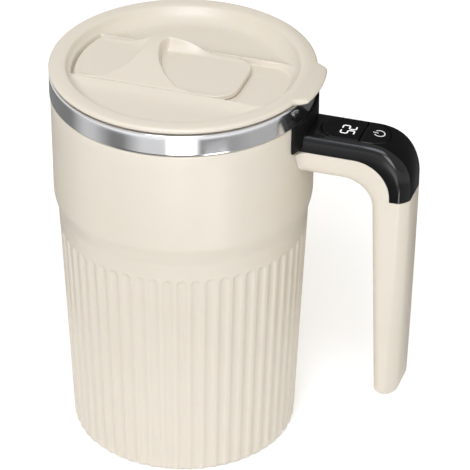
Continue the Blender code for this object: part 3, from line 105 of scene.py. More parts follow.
def ramp(tree, value, low, high, start=0.3, end=0.7):
    """Maps a value between start and end to a range of numbers."""
    made = tree.nodes.new("ShaderNodeMapRange")
    made.inputs["From Min"].default_value = start
    made.inputs["From Max"].default_value = end
    made.inputs["To Min"].default_value = low
    made.inputs["To Max"].default_value = high
    tree.links.new(value, made.inputs["Value"])
    return made.outputs["Result"]


def tint(tree, value, first, second, start=0.35, end=0.65):
    """Mixes two colours by a texture value."""
    made = tree.nodes.new("ShaderNodeValToRGB")
    made.color_ramp.elements[0].position = start
    made.color_ramp.elements[0].color = (*first, 1)
    made.color_ramp.elements[1].position = end
    made.color_ramp.elements[1].color = (*second, 1)
    tree.links.new(value, made.inputs["Fac"])
    return made.outputs["Color"]


def bump(tree, shader, height, distance):
    made = tree.nodes.new("ShaderNodeBump")
    made.inputs["Distance"].default_value = distance
    made.inputs["Strength"].default_value = 1.0
    tree.links.new(height, made.inputs["Height"])
    tree.links.new(made.outputs["Normal"], shader.inputs["Normal"])


def moulded(name, first, second, rough, grain=900.0, depth=0.00002, specular=0.5):
    """Moulded plastic or rubber: faint cloudy colour, uneven gloss and a fine spark-eroded grain."""
    material, tree, shader = shader_of(name)
    vector = object_coordinates(tree)
    cloud = noise(tree, vector, CLOUD_SCALE, detail=3)
    fine = noise(tree, vector, grain, detail=5, roughness=0.6)
    tree.links.new(tint(tree, cloud, first, second), shader.inputs["Base Color"])
    tree.links.new(ramp(tree, cloud, *rough), shader.inputs["Roughness"])
    shader.inputs["Specular IOR Level"].default_value = specular
    bump(tree, shader, fine, depth)
    return material


def brushed(name, colour, rough, stretch, depth, scale):
    """Metal with fine brush lines, drawn out along one direction by the stretch."""
    material, tree, shader = shader_of(name)
    vector = object_coordinates(tree, stretch)
    lines = noise(tree, vector, scale, detail=3, roughness=0.7)
    darker = tuple(c * BRUSH_SHADE for c in colour)
    tree.links.new(tint(tree, lines, darker, colour), shader.inputs["Base Color"])
    tree.links.new(ramp(tree, lines, *rough), shader.inputs["Roughness"])
    shader.inputs["Metallic"].default_value = 1.0
    bump(tree, shader, lines, depth)
    return material


def glow(name, colour, strength):
    """Pale print or lit figures, which give a little light of their own."""
    material, tree, shader = shader_of(name)
    cells = noise(tree, object_coordinates(tree), CELL_SCALE, detail=2)
    darker = tuple(c * CELL_SHADE for c in colour)
    tree.links.new(tint(tree, cells, darker, colour), shader.inputs["Emission Color"])
    shader.inputs["Base Color"].default_value = (0.6, 0.6, 0.6, 1)
    shader.inputs["Emission Strength"].default_value = strength
    shader.inputs["Roughness"].default_value = 0.4
    return material


cream = moulded("cream_satin_plastic", (0.715, 0.650, 0.545), (0.735, 0.670, 0.568), (0.30, 0.38))
cream_shader = cream.node_tree.nodes["Principled BSDF"]
cream_shader.inputs["Subsurface Weight"].default_value = 0.12
cream_shader.inputs["Subsurface Radius"].default_value = (1.0, 0.7, 0.35)
cream_shader.inputs["Subsurface Scale"].default_value = 0.0015

BLACK_A, BLACK_B = (0.004, 0.004, 0.0045), (0.006, 0.006, 0.0065)
gloss_black = moulded("gloss_black_plastic", BLACK_A, BLACK_B, (0.13, 0.17), 1500, 0.000002, 0.30)
collar_black = moulded("collar_black", BLACK_A, BLACK_B, (0.4, 0.5), 900, 0.00001, 0.12)
window_black = moulded(
    "smoked_window", (0.003, 0.003, 0.0035), (0.004, 0.004, 0.0045), (0.05, 0.08), 2000, 0.000001, 0.30
)
steel = brushed("brushed_steel", (0.66, 0.66, 0.67), (0.11, 0.14), (1, 1, 60), 0.0000012, 1200.0)
satin_steel = brushed("turned_steel", (0.60, 0.60, 0.61), (0.22, 0.34), (1, 1, 25), 0.00001, 700)
nickel = brushed("nickel_plate", (0.62, 0.60, 0.56), (0.12, 0.2), (1, 1, 1), 0.000003, 900)
pale_silicone = moulded("pale_silicone", (0.70, 0.68, 0.64), (0.76, 0.74, 0.70), (0.5, 0.62), 700)
foot_rubber = moulded(
    "foot_rubber", (0.030, 0.030, 0.032), (0.045, 0.045, 0.047), (0.65, 0.8), 500, 0.00004
)
grey_plastic = moulded("grey_plastic", (0.055, 0.055, 0.06), (0.07, 0.07, 0.075), (0.4, 0.55), 800)
white_plastic = moulded("white_plastic", (0.70, 0.70, 0.69), (0.76, 0.76, 0.75), (0.4, 0.5), 800)
board_green = moulded("board_lacquer", (0.010, 0.09, 0.035), (0.016, 0.12, 0.045), (0.25, 0.4), 400)
battery_wrap = moulded("battery_wrap", (0.03, 0.09, 0.30), (0.04, 0.11, 0.35), (0.25, 0.35), 300)
cable_jacket = moulded("cable_jacket", (0.012, 0.012, 0.012), (0.02, 0.02, 0.02), (0.4, 0.5), 900)
figures = glow("display_figures", (0.93, 0.94, 0.95), 0.75)
sign = glow("printed_sign", (0.80, 0.80, 0.79), 0.35)

# Mesh helpers. From here to the studio, sizes are in millimetres, but for the distance that welds points.

MERGE_DISTANCE = 1e-7
NEAR_AXIS = 0.02


def shade(mesh, degrees):
    """Smooth shading that keeps the edges sharper than an angle."""
    mesh.shade_smooth()
    mesh.set_sharp_from_angle(angle=math.radians(degrees))


def object_of(name, mesh, material, body=None, angle=35):
    """A piece of one material. One that is still to be cut gets its body afterwards."""
    obj = bpy.data.objects.new(name, mesh)
    bpy.context.scene.collection.objects.link(obj)
    mesh.materials.append(material)
    shade(mesh, angle)
    if body:
        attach(obj, body)
    return obj


def grid_mesh(name, grid, round_rows=False, round_columns=False, flip=False, caps=()):
    """A mesh from points in rows and columns, in millimetres. caps names rows that are closed by a face."""
    rows, columns = grid.shape[:2]
    index = np.arange(rows * columns).reshape(rows, columns)
    if round_rows:
        index = np.vstack([index, index[:1]])
    if round_columns:
        index = np.hstack([index, index[:, :1]])
    quads = np.stack([index[:-1, :-1], index[:-1, 1:], index[1:, 1:], index[1:, :-1]], -1).reshape(-1, 4)
    if flip:
        quads = quads[:, ::-1]
    faces = quads.tolist()
    for cap in caps:
        first = cap % rows * columns
        ring = list(range(first, first + columns))
        outward = (cap >= 0) != flip
        faces.append(ring[::-1] if outward else ring)
    mesh = bpy.data.meshes.new(name)
    mesh.from_pydata((grid.reshape(-1, 3) * MM).tolist(), [], faces)
    mesh.validate()
    return mesh


def turned(r, z, theta):
    """Points at a radius, a height and an angle."""
    return np.stack([r * np.cos(theta), r * np.sin(theta), np.broadcast_to(z, r.shape)], -1)


def fix_normals(mesh):
    """Welds points that coincide and turns every face outward."""
    shape = bmesh.new()
    shape.from_mesh(mesh)
    bmesh.ops.remove_doubles(shape, verts=shape.verts, dist=MERGE_DISTANCE)
    bmesh.ops.recalc_face_normals(shape, faces=shape.faces)
    shape.to_mesh(mesh)
    shape.free()
    return mesh


def lathe(name, profile, steps, flip=False):
    """A closed profile of (radius, height), turned about Z."""
    r, z = np.repeat(np.array(profile, float)[:, :, None], steps, 2).transpose(1, 0, 2)
    grid = turned(r, z, np.linspace(0, 2 * math.pi, steps, endpoint=False))
    return fix_normals(grid_mesh(name, grid, round_rows=True, round_columns=True, flip=flip))


def arc_points(x, y, radius, start, end, steps, height=None):
    """Points on an arc between two angles in degrees. A height of its own makes it an ellipse."""
    height = radius if height is None else height
    angles = np.radians(np.linspace(start, end, steps + 1))
    return [(x + radius * math.cos(a), y + height * math.sin(a)) for a in angles]


def rectangle(left, right, near, far):
    return [(left, near), (right, near), (right, far), (left, far)]


def prism(name, outline, low, high, upright=False):
    """A flat outline extruded between two heights, or between two values of Y when upright."""
    count = len(outline)
    points = []
    for level in (low * MM, high * MM):
        for a, b in outline:
            points.append((a * MM, level, b * MM) if upright else (a * MM, b * MM, level))
    faces = [list(range(count)), list(range(2 * count - 1, count - 1, -1))]
    for i in range(count):
        after = (i + 1) % count
        faces.append([i, i + count, after + count, after])
    mesh = bpy.data.meshes.new(name)
    mesh.from_pydata(points, [], faces)
    return fix_normals(mesh)


def boolean(obj, mesh, operation="DIFFERENCE", solver="EXACT"):
    """Applies one Boolean with a mesh and drops the cutter."""
    cutter = bpy.data.objects.new("cutter", mesh)
    bpy.context.scene.collection.objects.link(cutter)
    modifier = obj.modifiers.new("cut", "BOOLEAN")
    modifier.operation = operation
    modifier.solver = solver
    modifier.object = cutter
    bpy.context.view_layer.update()
    graph = bpy.context.evaluated_depsgraph_get()
    made = bpy.data.meshes.new_from_object(obj.evaluated_get(graph))
    obj.modifiers.remove(modifier)
    old = obj.data
    obj.data = made
    bpy.data.meshes.remove(old)
    bpy.data.objects.remove(cutter, do_unlink=True)


def soft(value, low, high):
    """Smooth step from 0 at low to 1 at high."""
    t = np.clip((value - low) / (high - low), 0, 1)
    return t * t * (3 - 2 * t)


def soft_max(a, b, width):
    """The larger of two values, with a smooth passage where they meet."""
    h = np.clip(0.5 + 0.5 * (a - b) / width, 0, 1)
    return b + (a - b) * h + width * h * (1 - h)


# Shell

RIM_Z, BAND_LOW, RIM_R = 135.65, 128.05, 44.1
SHELL_TOP = 127.75
STEP_LOW, STEP_HIGH = 84.5, 92.5
BASE_R, LOW_TAPER = 38.0, 3.9
STEP_R, STEP_RISE = 41.9, 1.5
HIGH_R, HIGH_TAPER = 43.4, 0.4
FOOT_Z, FOOT_CORNER = 0.25, 2.2
FLUTES, FLUTE_STEPS = 55, 20
FLUTE_TOP, FLUTE_DEPTH, FLUTE_SHARE, FLUTE_R = 79.5, 0.62, 0.76, 41.0
# Heights of the rows in the fluted part, as (from, to, count), closest where the flutes end
FLUTED_SPANS = ((4, 74, 24), (75, 81, 44), (81.6, 83.7, 4), (84.2, 93, 32))
# Top edge, spigot under the steel rim, inner wall and ledge, as (height, radius)
SHELL_INSIDE = (
    (SHELL_TOP - 0.15, 43.74),
    (SHELL_TOP, 43.6),
    (SHELL_TOP, 43.4),
    (SHELL_TOP, 43.05),
    (130.65, 43.0),
    (130.95, 42.8),
    (130.95, 41.7),
    (130.65, 41.5),
    (92.5, 41.5),
    (84.5, 39.7),
    (50, 38.1),
    (5.9, 36.0),
    (5.8, 32.0),
    (4.3, 32.0),
    (4.3, 34.6),
)
PORT_Z, PORT_Y, PORT_RISE, PORT_CORNER = 11.1, 3.25, 0.5, 3.0
PORT_NEAR, PORT_FAR = 30.3, 45


def shell_radius(z):
    """Outer radius of the shell over its ridges."""
    z = np.asarray(z, float)
    low = BASE_R + LOW_TAPER * z / STEP_LOW
    rise = np.clip((z - STEP_LOW) / (STEP_HIGH - STEP_LOW), 0, 1)
    step = STEP_R + STEP_RISE * (1 - np.cos(np.pi * rise)) / 2
    high = HIGH_R + HIGH_TAPER * (z - STEP_HIGH) / (SHELL_TOP - STEP_HIGH)
    return np.where(z < STEP_LOW, low, np.where(z < STEP_HIGH, step, high))


def shell_rows():
    """Rows of (height, radius, share of the flutes' depth), up the outside and down the inside."""
    rows = [(FOOT_Z, r, 0) for r in (34.6, 34.9, 35.15)]
    base_r = float(shell_radius(0.8))
    for a in np.radians(np.linspace(-90, 0, 12)):
        z = FOOT_Z + FOOT_CORNER + FOOT_CORNER * math.sin(a)
        r = base_r - FOOT_CORNER + FOOT_CORNER * math.cos(a)
        rows.append((z, r, math.cos(a) ** 1.2))
    fluted = np.concatenate([np.linspace(*span) for span in FLUTED_SPANS])
    rows += [(z, float(shell_radius(z)), 1) for z in fluted]
    rows += [(z, float(shell_radius(z)), 0) for z in np.linspace(95, SHELL_TOP - 0.45, 9)]
    rows += [(z, r, 0) for z, r in SHELL_INSIDE]
    return np.array(rows)


def port_cutter():
    """Round-cornered opening for the charging socket, at the back."""
    outline = []
    corners = ((1, 1, 0), (-1, 1, 90), (-1, -1, 180), (1, -1, 270))
    for side, up, start in corners:
        corner = arc_points(side * PORT_Y, up * PORT_RISE, PORT_CORNER, start, start + 90, 8)
        outline += [(y, z + PORT_Z) for y, z in corner]
    cutter = prism("port", outline, PORT_NEAR, PORT_FAR, upright=True)
    cutter.transform(Matrix.Rotation(math.radians(90), 4, "Z"))
    return cutter


def shell():
    theta = np.linspace(0, 2 * np.pi, FLUTES * FLUTE_STEPS, endpoint=False)
    pitch = 2 * np.pi / FLUTES
    along = (theta + pitch / 2) % pitch - pitch / 2
    z, r, depth = shell_rows().T[:, :, None]
    # each flute is a groove of round section, with a round end at its top
    width = FLUTE_SHARE * pitch * FLUTE_R
    side = along[None, :] * FLUTE_R
    up = np.maximum(z - (FLUTE_TOP - width / 2), 0)
    d = np.sqrt(side**2 + up**2) / (width / 2)
    groove = np.clip(1 - d**2, 0, 1) * soft(-d, -1.0, -0.80)
    r = r - FLUTE_DEPTH * depth * groove
    mesh = grid_mesh("shell", turned(r, z, theta), round_rows=True, round_columns=True)
    obj = object_of("shell", mesh, cream)
    boolean(obj, port_cutter(), solver="FAST")
    shade(obj.data, 50)
    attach(obj, "mug")
    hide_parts("outer_shell")


shell()

# Steel cup, whose folded rim is the band

CUP_R, CUP_FLOOR, CUP_CORNER, CUP_WALL = 35.85, 36.0, 5.0, 0.8
MOUTH_R, MOUTH_FOLD_Z, FOLD_R = 39.4, 134.65, 1.0
RIM_CORNER, BAND_CORNER = 0.55, 0.25
BAND_BACK_R, BAND_BACK_TOP = 43.3, 134.85


def cup():
    corner_x, corner_z = CUP_R - CUP_CORNER, CUP_FLOOR + CUP_CORNER
    profile = [(NEAR_AXIS, CUP_FLOOR + CUP_WALL)]
    profile += arc_points(corner_x, corner_z, CUP_CORNER - CUP_WALL, -90, 0, 8)
    profile += [(MOUTH_R, BAND_LOW), (MOUTH_R, MOUTH_FOLD_Z - 0.05)]
    profile += arc_points(MOUTH_R + FOLD_R, MOUTH_FOLD_Z, FOLD_R, 180, 90, 6)
    profile += arc_points(RIM_R - RIM_CORNER, RIM_Z - RIM_CORNER, RIM_CORNER, 90, 0, 5)
    profile += [(RIM_R, 133.0), (RIM_R, 130.5), (RIM_R, 128.8)]
    profile += arc_points(RIM_R - BAND_CORNER, BAND_LOW + 0.3, BAND_CORNER, 0, -90, 4)
    profile += [(43.45, BAND_LOW + 0.05), (BAND_BACK_R, BAND_LOW + 0.3), (BAND_BACK_R, BAND_BACK_TOP)]
    profile += [(MOUTH_R + CUP_WALL, BAND_BACK_TOP), (MOUTH_R + CUP_WALL, BAND_LOW)]
    profile += arc_points(corner_x, corner_z, CUP_CORNER, 0, -90, 8)
    profile += [(NEAR_AXIS, CUP_FLOOR)]
    obj = object_of("steel_cup", lathe("steel_cup", profile, 360, flip=True), steel, "mug", 40)
    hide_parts("cup_liner")


cup()

# Lid

LID_TOP, LID_FLOOR = 138.35, 133.15
BOWL_R, BOWL_RUN, BOWL_RISE = 30.4, 8.4, 4.75
LOBE_RISE, LOBE_RUN = 2.05, 10.0
FLANGE_R, FLANGE_CROWN = 41.2, 0.045
FLANGE_IN, FLANGE_FLAT = 37.8, 39.8
TRACK_LEFT, TRACK_HALF, TRACK_RIGHT, TRACK_CORNER = 36.55, 13.9, 35.3, 9.0
EDGE_R, EDGE_CENTRE, EDGE_WIDE, EDGE_HIGH = 42.8, 42.95, 1.25, 1.05
TAB_REACH, TAB_DROP, TAB_MIDDLE = 3.2, 0.55, 1.0
TAB_FULL, TAB_END = 13.2, 18.6
LID_STEPS = 960
# Underside from the edge inward: seat on the rim, skirt with its seal's groove, ceiling, as (radius, height)
LID_UNDERSIDE = (
    (43.3, 135.95),
    (42.0, 135.95),
    (39.4, 135.95),
    (38.9, 135.35),
    (38.9, 129.45),
    (38.8, 129.25),
    (37.8, 129.25),
    (37.8, 126.45),
    (38.8, 126.45),
    (38.9, 126.15),
    (38.9, 123.95),
    (38.4, 123.45),
    (37.2, 123.45),
    (36.7, 123.95),
    (36.7, 130.95),
    (36.3, 131.35),
    (20.0, 131.35),
    (NEAR_AXIS, 131.35),
)
SIP_X, SIP_R, SIP_HALF = -29.25, 3.1, 2.9
SIP_LOW, SIP_HIGH = 129.5, 134.8
GROOVE_IN, GROOVE_OUT = 13.5, 15.2
GROOVE_LEFT, GROOVE_RIGHT, GROOVE_LOW, GROOVE_HIGH = -28.55, 15.55, 133.3, 134.55


def stadium_distance(x, y, left_radius, half, right, corner):
    """Signed distance to the track's plan: round left end about the lid's axis, round right corners."""
    left = np.hypot(x, y) - left_radius
    qx = x - (right - corner)
    qy = np.abs(y) - (half - corner)
    rounded = np.hypot(np.maximum(qx, 0), np.maximum(qy, 0)) + np.minimum(np.maximum(qx, qy), 0) - corner
    plain_box = np.maximum(np.abs(y) - half, x - right)
    box = np.where(x > 0, rounded, plain_box)
    return np.maximum(box, np.where(x < 0, left, -1e3))


def flange_height(r):
    """Height of the lid's raised ring, a low crown."""
    return LID_TOP - FLANGE_CROWN * (r - FLANGE_R) ** 2


def lid_top(x, y):
    """Height of the lid's upper side."""
    r = np.hypot(x, y)
    # concave wall from the bowl's floor up to the raised ring
    t = np.clip((r - BOWL_R) / BOWL_RUN, 0, 1)
    wall = LID_FLOOR + BOWL_RISE * t**2.8
    # lobes in front of and behind the slider start level with it and dip
    v = np.clip((np.abs(y) - TRACK_HALF - 0.5) / LOBE_RUN, 0, 1)
    lobe = LID_FLOOR + LOBE_RISE * (1 - v) ** 2.2
    inside = soft_max(wall, lobe, 0.9)
    # the slider's track, with a blunter edge toward the handle
    from_track = stadium_distance(x, y, TRACK_LEFT, TRACK_HALF, TRACK_RIGHT, TRACK_CORNER)
    blunt = 0.35 + 1.3 * soft(x, 22.0, 33.0)
    deep = 1 - soft(from_track, -0.25 * blunt, blunt)
    inside = inside * (1 - deep) + np.minimum(inside, LID_FLOOR) * deep
    on_ring = soft(r, FLANGE_IN, FLANGE_FLAT)
    return inside * (1 - on_ring) + flange_height(r) * on_ring


def tab_reach(angle):
    """How far the tab stands out of the lid's edge, at an angle in degrees."""
    a = np.abs((angle + 180) % 360 - 180 - TAB_MIDDLE)
    return TAB_REACH * (1 - soft(a, TAB_FULL, TAB_END))


def lid_edge(reach):
    """Rows of (radius, height) round the lid's outer edge, with the tab's thinner lip."""
    edge_z = flange_height(EDGE_R) - EDGE_HIGH
    arc = np.array(arc_points(EDGE_CENTRE, edge_z, EDGE_WIDE, 80, -60, 11, EDGE_HIGH))
    r, z = arc[:, :1], arc[:, 1:]
    drop = TAB_DROP * (reach / TAB_REACH)
    fade = np.linspace(1, 0.1, len(arc))[:, None]
    return np.stack([r + reach * soft(r, EDGE_R, 43.6), z - drop * soft(r, 43.0, 43.9) * fade], -1)


def lid():
    theta = np.linspace(0, 2 * np.pi, LID_STEPS, endpoint=False)
    reach = tab_reach(np.degrees(theta))[None, :]
    radii = np.concatenate([np.linspace(NEAR_AXIS, 28, 96), np.linspace(28.25, EDGE_R, 62)])
    r = np.broadcast_to(radii[:, None], (len(radii), LID_STEPS))
    top = np.stack([r, lid_top(r * np.cos(theta), r * np.sin(theta))], -1)
    under = np.repeat(np.array(LID_UNDERSIDE)[:, None, :], LID_STEPS, 1)
    under[0, :, 0] += reach[0] * 0.9
    rz = np.concatenate([top, lid_edge(reach), under])
    grid = turned(rz[..., 0], rz[..., 1], theta)
    mesh = grid_mesh("lid_shell", grid, round_columns=True, flip=True, caps=(0, -1))
    obj = object_of("lid_shell", fix_normals(mesh), cream)
    hole = arc_points(SIP_X, SIP_HALF, SIP_R, 0, 180, 16) + arc_points(SIP_X, -SIP_HALF, SIP_R, 180, 360, 16)
    boolean(obj, prism("sip", hole, SIP_LOW, SIP_HIGH))
    for near, far in ((-GROOVE_OUT, -GROOVE_IN), (GROOVE_IN, GROOVE_OUT)):
        groove = rectangle(GROOVE_LEFT, GROOVE_RIGHT, near, far)
        boolean(obj, prism("groove", groove, GROOVE_LOW, GROOVE_HIGH))
    shade(obj.data, 60)
    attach(obj, "lid")
    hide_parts("lid_body")


lid()

# Sliding sip cover

SLIDE_TOP, SLIDE_THICK = 135.15, 1.5
SLIDE_LEFT, SLIDE_HALF, SLIDE_RIGHT, SLIDE_CORNER = 35.65, 13.6, 21.2, 8.0
SLIDE_EDGE = 0.35
RIDGE_RISE, RIDGE_BEND = 4.0, 0.45
PAD_DIP = 0.35
RAIL_LEFT, RAIL_RIGHT, RAIL_HALF = -28.25, 1.75, 14.9
RAIL_LOW, RAIL_HIGH, RAIL_BEVEL = 133.67, 134.25, 0.1
# Plan of the thumb ridge as (y, x), measured on the photograph through the fitted camera: its left edge
# beside the leaf-shaped dish, its right edge beside the pad
RIDGE_LEFT = (
    (-13.91, -34.34),
    (-13.19, -28.48),
    (-11.86, -24.24),
    (-7.77, -19.9),
    (-4.91, -18.08),
    (-0.31, -16.66),
    (5.42, -15.65),
    (9.2, -15.05),
    (13.6, -14.34),
)
RIDGE_RIGHT = (
    (-13.91, 9.6),
    (-12.27, 3.03),
    (-9.2, -1.41),
    (-6.44, -4.14),
    (-2.86, -6.77),
    (0.92, -8.89),
    (4.09, -10),
    (8.69, -10.81),
    (13.6, -9.7),
)
# Height of the rim behind the dishes along the cover's back edge, as (x, share of the rise)
BACK_RIM = (
    (-26.26, 0),
    (-22.73, 0.05),
    (-18.58, 0.38),
    (-16.87, 0.6),
    (-15.05, 0.84),
    (-13.53, 0.97),
    (-10.4, 1),
    (-6.87, 0.96),
    (-3.33, 0.84),
    (0.2, 0.56),
    (2.52, 0.28),
    (4.85, 0.07),
    (7.58, 0),
)


def smooth_through(knots, at):
    """A smooth curve through knots of (place, value), read at a place."""
    places, values = np.array(knots, float).T
    slope = np.gradient(values, places)
    at = np.clip(at, places[0], places[-1])
    i = np.clip(np.searchsorted(places, at) - 1, 0, len(places) - 2)
    h = places[i + 1] - places[i]
    t = np.clip((at - places[i]) / h, 0, 1)
    a = (1 + 2 * t) * (1 - t) ** 2 * values[i] + t * (1 - t) ** 2 * h * slope[i]
    b = t * t * (3 - 2 * t) * values[i + 1] + t * t * (t - 1) * h * slope[i + 1]
    return a + b


def ridge_fall(y):
    """Share of the ridge's rise at y: level at the back edge, then an even slope to the front edge."""
    t = np.clip((SLIDE_HALF - y) / (2 * SLIDE_HALF), 0, 1)
    slope = 1 / (1 - RIDGE_BEND / 2)
    return np.where(t < RIDGE_BEND, 1 - slope * t * t / (2 * RIDGE_BEND), 1 - slope * (t - RIDGE_BEND / 2))


def slider_top(x, y):
    """Height of the sip cover's upper side: pad, dish and the thumb ridge between them."""
    face = RIDGE_RISE * ridge_fall(y)
    rim = RIDGE_RISE * np.clip(smooth_through(BACK_RIM, x), 0, 1)
    # the dishes' floors climb to the back rim over the last few millimetres
    to_back = np.clip((y - np.where(x < -12, 7.4, 10.8)) / np.where(x < -12, 6.2, 2.8), 0, 1)
    dish = rim * to_back**1.6
    past_left = soft(x - smooth_through(RIDGE_LEFT, y), -1.1, 0.0)
    before_right = soft(smooth_through(RIDGE_RIGHT, y) - x, -1.3, 0.0)
    share = np.minimum(past_left, before_right)
    height = dish + (np.maximum(face, dish) - dish) * share
    inset = -stadium_distance(x, y, SLIDE_LEFT, SLIDE_HALF, SLIDE_RIGHT, SLIDE_CORNER)
    floor = -PAD_DIP * soft(inset, 0.2, 3.0) * (1 - share)
    e = np.clip(inset, 0, SLIDE_EDGE)
    fall = SLIDE_EDGE - np.sqrt(np.maximum(SLIDE_EDGE**2 - (SLIDE_EDGE - e) ** 2, 0))
    return SLIDE_TOP + height + floor - fall


def slider_half(x):
    """Half the sip cover's width at x: round at the left, with round corners at the right."""
    past = np.clip(x - (SLIDE_RIGHT - SLIDE_CORNER), 0, SLIDE_CORNER)
    corner = SLIDE_HALF - SLIDE_CORNER + np.sqrt(np.maximum(SLIDE_CORNER**2 - past**2, 0))
    round_end = np.sqrt(np.maximum(SLIDE_LEFT**2 - x**2, 0))
    return np.clip(np.where(x < 0, round_end, corner), 0.02, SLIDE_HALF)


def slider():
    # rows and columns lie closer toward the ends and the sides
    count, across = 260, 120
    turn = np.cos(np.linspace(0, np.pi, count))
    middle, reach = (SLIDE_RIGHT - SLIDE_LEFT) / 2, (SLIDE_RIGHT + SLIDE_LEFT) / 2
    x = 0.25 * (middle - reach * turn) + 0.75 * np.linspace(-SLIDE_LEFT, SLIDE_RIGHT, count)
    v = 0.5 * np.sin(np.linspace(-np.pi / 2, np.pi / 2, across)) + 0.5 * np.linspace(-1, 1, across)
    gx = np.repeat(x[:, None], across, 1)
    gy = slider_half(x)[:, None] * v[None, :]
    top = np.stack([gx, gy, slider_top(gx, gy)], -1)
    under = np.stack([gx, gy[:, ::-1], np.full_like(gx, SLIDE_TOP - SLIDE_THICK)], -1)
    section = np.concatenate([top, under], axis=1)
    mesh = grid_mesh("sip_cover", section, round_columns=True, caps=(0, -1))
    obj = object_of("sip_cover", fix_normals(mesh), cream, "slider", 60)
    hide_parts("lid_slider")
    plan = rectangle(RAIL_LEFT, RAIL_RIGHT, -RAIL_HALF, RAIL_HALF)
    tongues = prism("rail", plan, RAIL_LOW, RAIL_HIGH)
    rails = object_of("sip_cover_rails", tongues, cream, "slider")
    bevel = rails.modifiers.new("bevel", "BEVEL")
    bevel.width = RAIL_BEVEL * MM
    bevel.segments = 2


slider()

# Handle

OUT_C, OUT_R, OUT_POWER = (64.64, 107.83), 15.35, 2.32
IN_C, IN_R = (57.5, 98.92), 9.78
ARM_TOP, ARM_LOW = OUT_C[1] + OUT_R, IN_C[1] + IN_R
HANDLE_HALF = 8.85
ROOT_X = 42.2
SIDE_CROWN = 0.05
CORNER_STEPS = 10
# Cut of the outer corners along the section's depth and across it, their bulge, and the inner rounding
ARM_SECTION = (2.6, 2.4, 0.86, 3.6)
GRIP_SECTION = (3.8, 3.25, 0.36, 4.2)
ROUND_LOSS = 0.3
TIP_X, TIP_Z, TIP_HALF, TIP_DROP, TIP_LEAN = 73.71, 29.63, 4.24, 3.81, 0.6
FLARE_X, FLARE_RUN = 46.6, 4.6
CAP_LOW, CAP_END, CAP_GAP = 117.1, 103.5, 0.12
CAP_BEND, CAP_BEND_R = (61.36, 104.7), 12.4
ZONE_LEFT, ZONE_RIGHT, ZONE_TOP, ZONE_HALF = 38, 84, 126, 20
PLUG_LOW, PLUG_HIGH, PLUG_GAP = 104.0, 128.0, 0.15
PANEL_LEFT, PANEL_RIGHT, PANEL_SPLIT = 47.9, 71.2, 62.2
PANEL_HALF = 6.4
PANEL_GAP, SPLIT_GAP = 0.22, 0.15
WELL_LEFT, WELL_RIGHT, WELL_LOW, WELL_DEPTH = 46, 72.4, 105, 1.6
PLATE_EDGE = 0.35
COLLAR_HALF, COLLAR_TURN = 13.8, 18.3
COLLAR_IN, COLLAR_OUT, COLLAR_LOW, COLLAR_HIGH = 43.95, 44.9, 118.4, 127.95


def bezier(start, control, end):
    """Points on a bend from start to end, drawn toward a control point."""
    shares = np.linspace(0, 1, CORNER_STEPS + 1)
    weights = [((1 - t) ** 2, 2 * t * (1 - t), t * t) for t in shares]
    return [tuple(a * p + b * q + c * r for p, q, r in zip(start, control, end)) for a, b, c in weights]


def section(outer, inner, half, cut_n, cut_y, bulge, inner_round):
    """One closed section of the handle, as 3-D points, between an outer and an inner point."""
    outer, inner = np.array(outer, float), np.array(inner, float)
    thick = np.linalg.norm(outer - inner)
    n = (outer - inner) / thick
    r = inner_round

    def outer_corner(sign):
        a = (thick, sign * (half - cut_y))
        b = (thick - cut_n, sign * half)
        mid = ((a[0] + b[0]) / 2, (a[1] + b[1]) / 2)
        full = (thick, sign * half)
        control = (mid[0] + (full[0] - mid[0]) * bulge, mid[1] + (full[1] - mid[1]) * bulge)
        return a, control, b

    side = np.linspace(thick - cut_n, r, 8)[1:-1]
    points = bezier(*outer_corner(-1)[::-1])
    points += bezier(*outer_corner(1))
    points += [(d, half) for d in side]
    points += bezier((r, half), (0, half), (0, half - r))
    points += bezier((0, -half + r), (0, -half), (r, -half))
    points += [(d, -half) for d in side[::-1]]
    result = []
    for d, y in points:
        p = inner + n * d
        result.append((p[0], y * (1 - SIDE_CROWN * (2 * d / thick - 1) ** 2), p[1]))
    return result


def arm_rows():
    rows = []
    for u in np.linspace(0, 1, 24) ** 1.4:
        outer = (ROOT_X + (OUT_C[0] - ROOT_X) * u, ARM_TOP)
        inner = (ROOT_X + (IN_C[0] - ROOT_X) * u, ARM_LOW)
        rows.append(section(outer, inner, HANDLE_HALF, *ARM_SECTION))
    return rows


def bend_rows():
    rows = []
    power = 2 / OUT_POWER
    for u in np.linspace(0, 1, 34)[1:]:
        a = math.radians(90 * (1 - u))
        outer = (OUT_C[0] + OUT_R * math.cos(a) ** power, OUT_C[1] + OUT_R * math.sin(a) ** power)
        inner = (IN_C[0] + IN_R * math.cos(a), IN_C[1] + IN_R * math.sin(a))
        share = float(soft(u, 0.25, 1.0))
        form = [arm + (grip - arm) * share for arm, grip in zip(ARM_SECTION, GRIP_SECTION)]
        rows.append(section(outer, inner, HANDLE_HALF, *form))
    return rows


def grip_rows():
    rows = []
    cut_n, cut_y, bulge, inner_round = GRIP_SECTION
    out_x, in_x = OUT_C[0] + OUT_R, IN_C[0] + IN_R
    for u in np.linspace(0, 1, 26)[1:]:
        outer = (out_x + (TIP_X + TIP_HALF - out_x) * u**1.3, OUT_C[1] + (TIP_Z - OUT_C[1]) * u)
        inner = (in_x + (TIP_X - TIP_HALF - in_x) * u, IN_C[1] + (TIP_Z - IN_C[1]) * u)
        rows.append(section(outer, inner, HANDLE_HALF, cut_n, cut_y, bulge, inner_round - ROUND_LOSS * u))
    return rows


